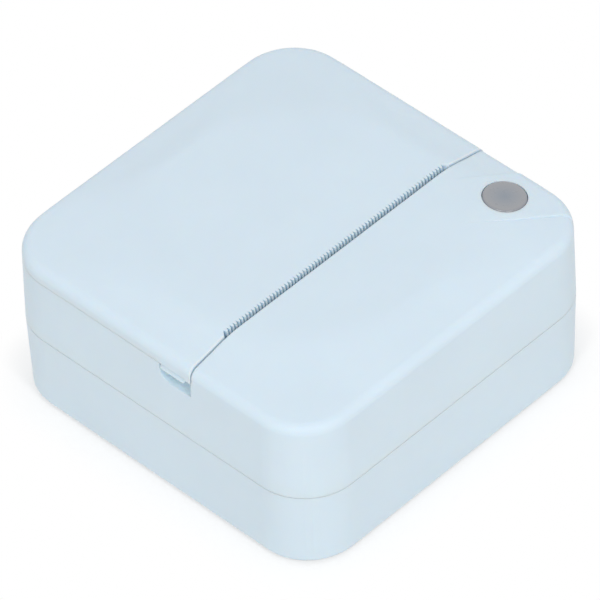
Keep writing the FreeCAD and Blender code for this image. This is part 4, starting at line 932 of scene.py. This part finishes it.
def makeRails():
    s = railForm
    start, end = s["sweep"]
    built = bmesh.new()
    for x in s["places"]:
        rings = []
        for k in range(s["steps"] + 1):
            share = k / s["steps"]
            a = math.radians(start + (end - start) * share)
            rise = s["rise"] * min(1.0, s["runOut"] * share, s["runOut"] * (1 - share))
            crown = [(across, rise * lift) for across, lift in s["crown"]]
            section = [(-1.0, -s["sink"])] + crown + [(1.0, -s["sink"])]
            rings.append([(x + across * s["half"], s["axis"][0] + (s["radius"] - height) * math.cos(a),
                           s["axis"][1] + (s["radius"] - height) * math.sin(a))
                          for across, height in section])
        addRings(built, rings)
    newPiece("wellRails", built, "wellPlastic", bodyOf("paper_well"))


makeRails()
print("details: button, spring, feet, hubs, contacts, lenses and rails")

# Studio: pale floor that fades to white around the case, an even surround and two soft keys by the camera
studio = {
    "floorSize": 4.0, "floorDrop": 0.00005, "floorColour": (0.850, 0.835, 0.808),
    "floorSeen": (0.97, 0.97, 0.97), "shadowReach": 0.009, "shadowEdge": 0.5, "cornerRadius": 0.012,
    "worldLight": 0.745, "lampAim": (0, 0, 0.02),
    "leftPlace": (-1.08, -0.42, 1.12), "leftSize": 0.30, "leftPower": 4.9,
    "rightPlace": (-0.27, -1.12, 1.12), "rightSize": 0.30, "rightPower": 5.2,
}


def seenDirectly(tree):
    path = addNode(tree, "LightPath")
    seen = path.outputs["Is Camera Ray"]
    for ray in ("Is Glossy Ray", "Is Transmission Ray"):
        seen = math2(tree, "MAXIMUM", seen, path.outputs[ray])
    return seen


def floorFade(tree):
    # How far the floor has gone to white, by the distance from the case's outline.
    s = studio
    low, high = cadBox
    radius = s["cornerRadius"]
    core = ((high[0] - low[0]) / 2 - radius, (high[1] - low[1]) / 2 - radius, 0)
    folded = vector2(tree, "ABSOLUTE", addNode(tree, "TexCoord").outputs["Object"])
    past = vector2(tree, "MAXIMUM", vector2(tree, "SUBTRACT", folded, core))
    away = addNode(tree, "VectorMath", {0: past}, operation="LENGTH").outputs["Value"]
    values = {"Value": away, "From Min": radius, "From Max": radius + s["shadowReach"],
              "To Min": s["shadowEdge"]}
    return addNode(tree, "MapRange", values, interpolation_type="SMOOTHSTEP").outputs["Result"]


def makeFloor():
    s = studio
    half = s["floorSize"] / 2
    corners = [(-half, -half, 0), (half, -half, 0), (half, half, 0), (-half, half, 0)]
    mesh = bpy.data.meshes.new("floor")
    mesh.from_pydata(corners, [], [(0, 1, 2, 3)])
    floor = bpy.data.objects.new("floor", mesh)
    floor.location.z = -s["floorDrop"]
    bpy.context.scene.collection.objects.link(floor)
    finish = bpy.data.materials.new("floorPaper")
    finish.use_nodes = True
    tree = finish.node_tree
    tree.nodes.clear()
    seen = seenDirectly(tree)
    white = math2(tree, "MULTIPLY", floorFade(tree), seen)
    colour = mixColour(tree, seen, s["floorColour"], s["floorSeen"])
    matte = addNode(tree, "BsdfDiffuse", {"Color": colour}).outputs["BSDF"]
    glow = addNode(tree, "Emission", {"Strength": 1.0}).outputs["Emission"]
    mixed = addNode(tree, "MixShader", {"Fac": white, 1: matte, 2: glow})
    addNode(tree, "OutputMaterial", {"Surface": mixed.outputs["Shader"]})
    mesh.materials.append(finish)


def makeWorld():
    world = bpy.data.worlds.new("studioWorld")
    world.use_nodes = True
    tree = world.node_tree
    tree.nodes.clear()
    strength = addNode(tree, "MapRange", {"Value": seenDirectly(tree), "To Min": studio["worldLight"]})
    sky = addNode(tree, "Background", {"Color": (1, 1, 1, 1), "Strength": strength.outputs["Result"]})
    addNode(tree, "OutputWorld", {"Surface": sky.outputs["Background"]})
    bpy.context.scene.world = world


def makeLamp(name):
    s = studio
    lamp = bpy.data.lights.new(name, "AREA")
    lamp.shape = "DISK"
    lamp.size = s[name + "Size"]
    lamp.energy = s[name + "Power"]
    holder = bpy.data.objects.new(name + "Lamp", lamp)
    holder.location = s[name + "Place"]
    holder.rotation_euler = (Vector(s["lampAim"]) - holder.location).to_track_quat("-Z", "Y").to_euler()
    holder.visible_camera = False
    bpy.context.scene.collection.objects.link(holder)


# Camera at the photograph's angle, worked out from the case's outline
view = {
    "azimuth": -44.534, "elevation": 44.714, "roll": -2.711, "target": (-0.00103, -0.000865, 0.0196),
    "distance": 1.323667, "focalPixels": 6853.457, "framePixels": 600, "sensor": 36.0,
}


def makeCamera():
    v = view
    turn, lift, roll = (math.radians(v[name]) for name in ("azimuth", "elevation", "roll"))
    back = Vector((math.sin(turn) * math.cos(lift), -math.cos(turn) * math.cos(lift), math.sin(lift)))
    right = (-back).cross(Vector((0, 0, 1))).normalized()
    up = back.cross(right)
    across = right * math.cos(roll) + up * math.sin(roll)
    upward = up * math.cos(roll) - right * math.sin(roll)
    place = Vector(v["target"]) + back * v["distance"]
    lens = bpy.data.cameras.new("camera")
    lens.sensor_width = v["sensor"]
    lens.lens = v["focalPixels"] / v["framePixels"] * v["sensor"]
    camera = bpy.data.objects.new("camera", lens)
    camera.matrix_world = Matrix.Translation(place) @ Matrix((across, upward, back)).transposed().to_4x4()
    bpy.context.scene.collection.objects.link(camera)
    bpy.context.scene.camera = camera


makeFloor()
makeWorld()
makeLamp("left")
makeLamp("right")
makeCamera()
bpy.context.scene.view_settings.view_transform = "Standard"
print("studio: floor, world, lamps and camera")
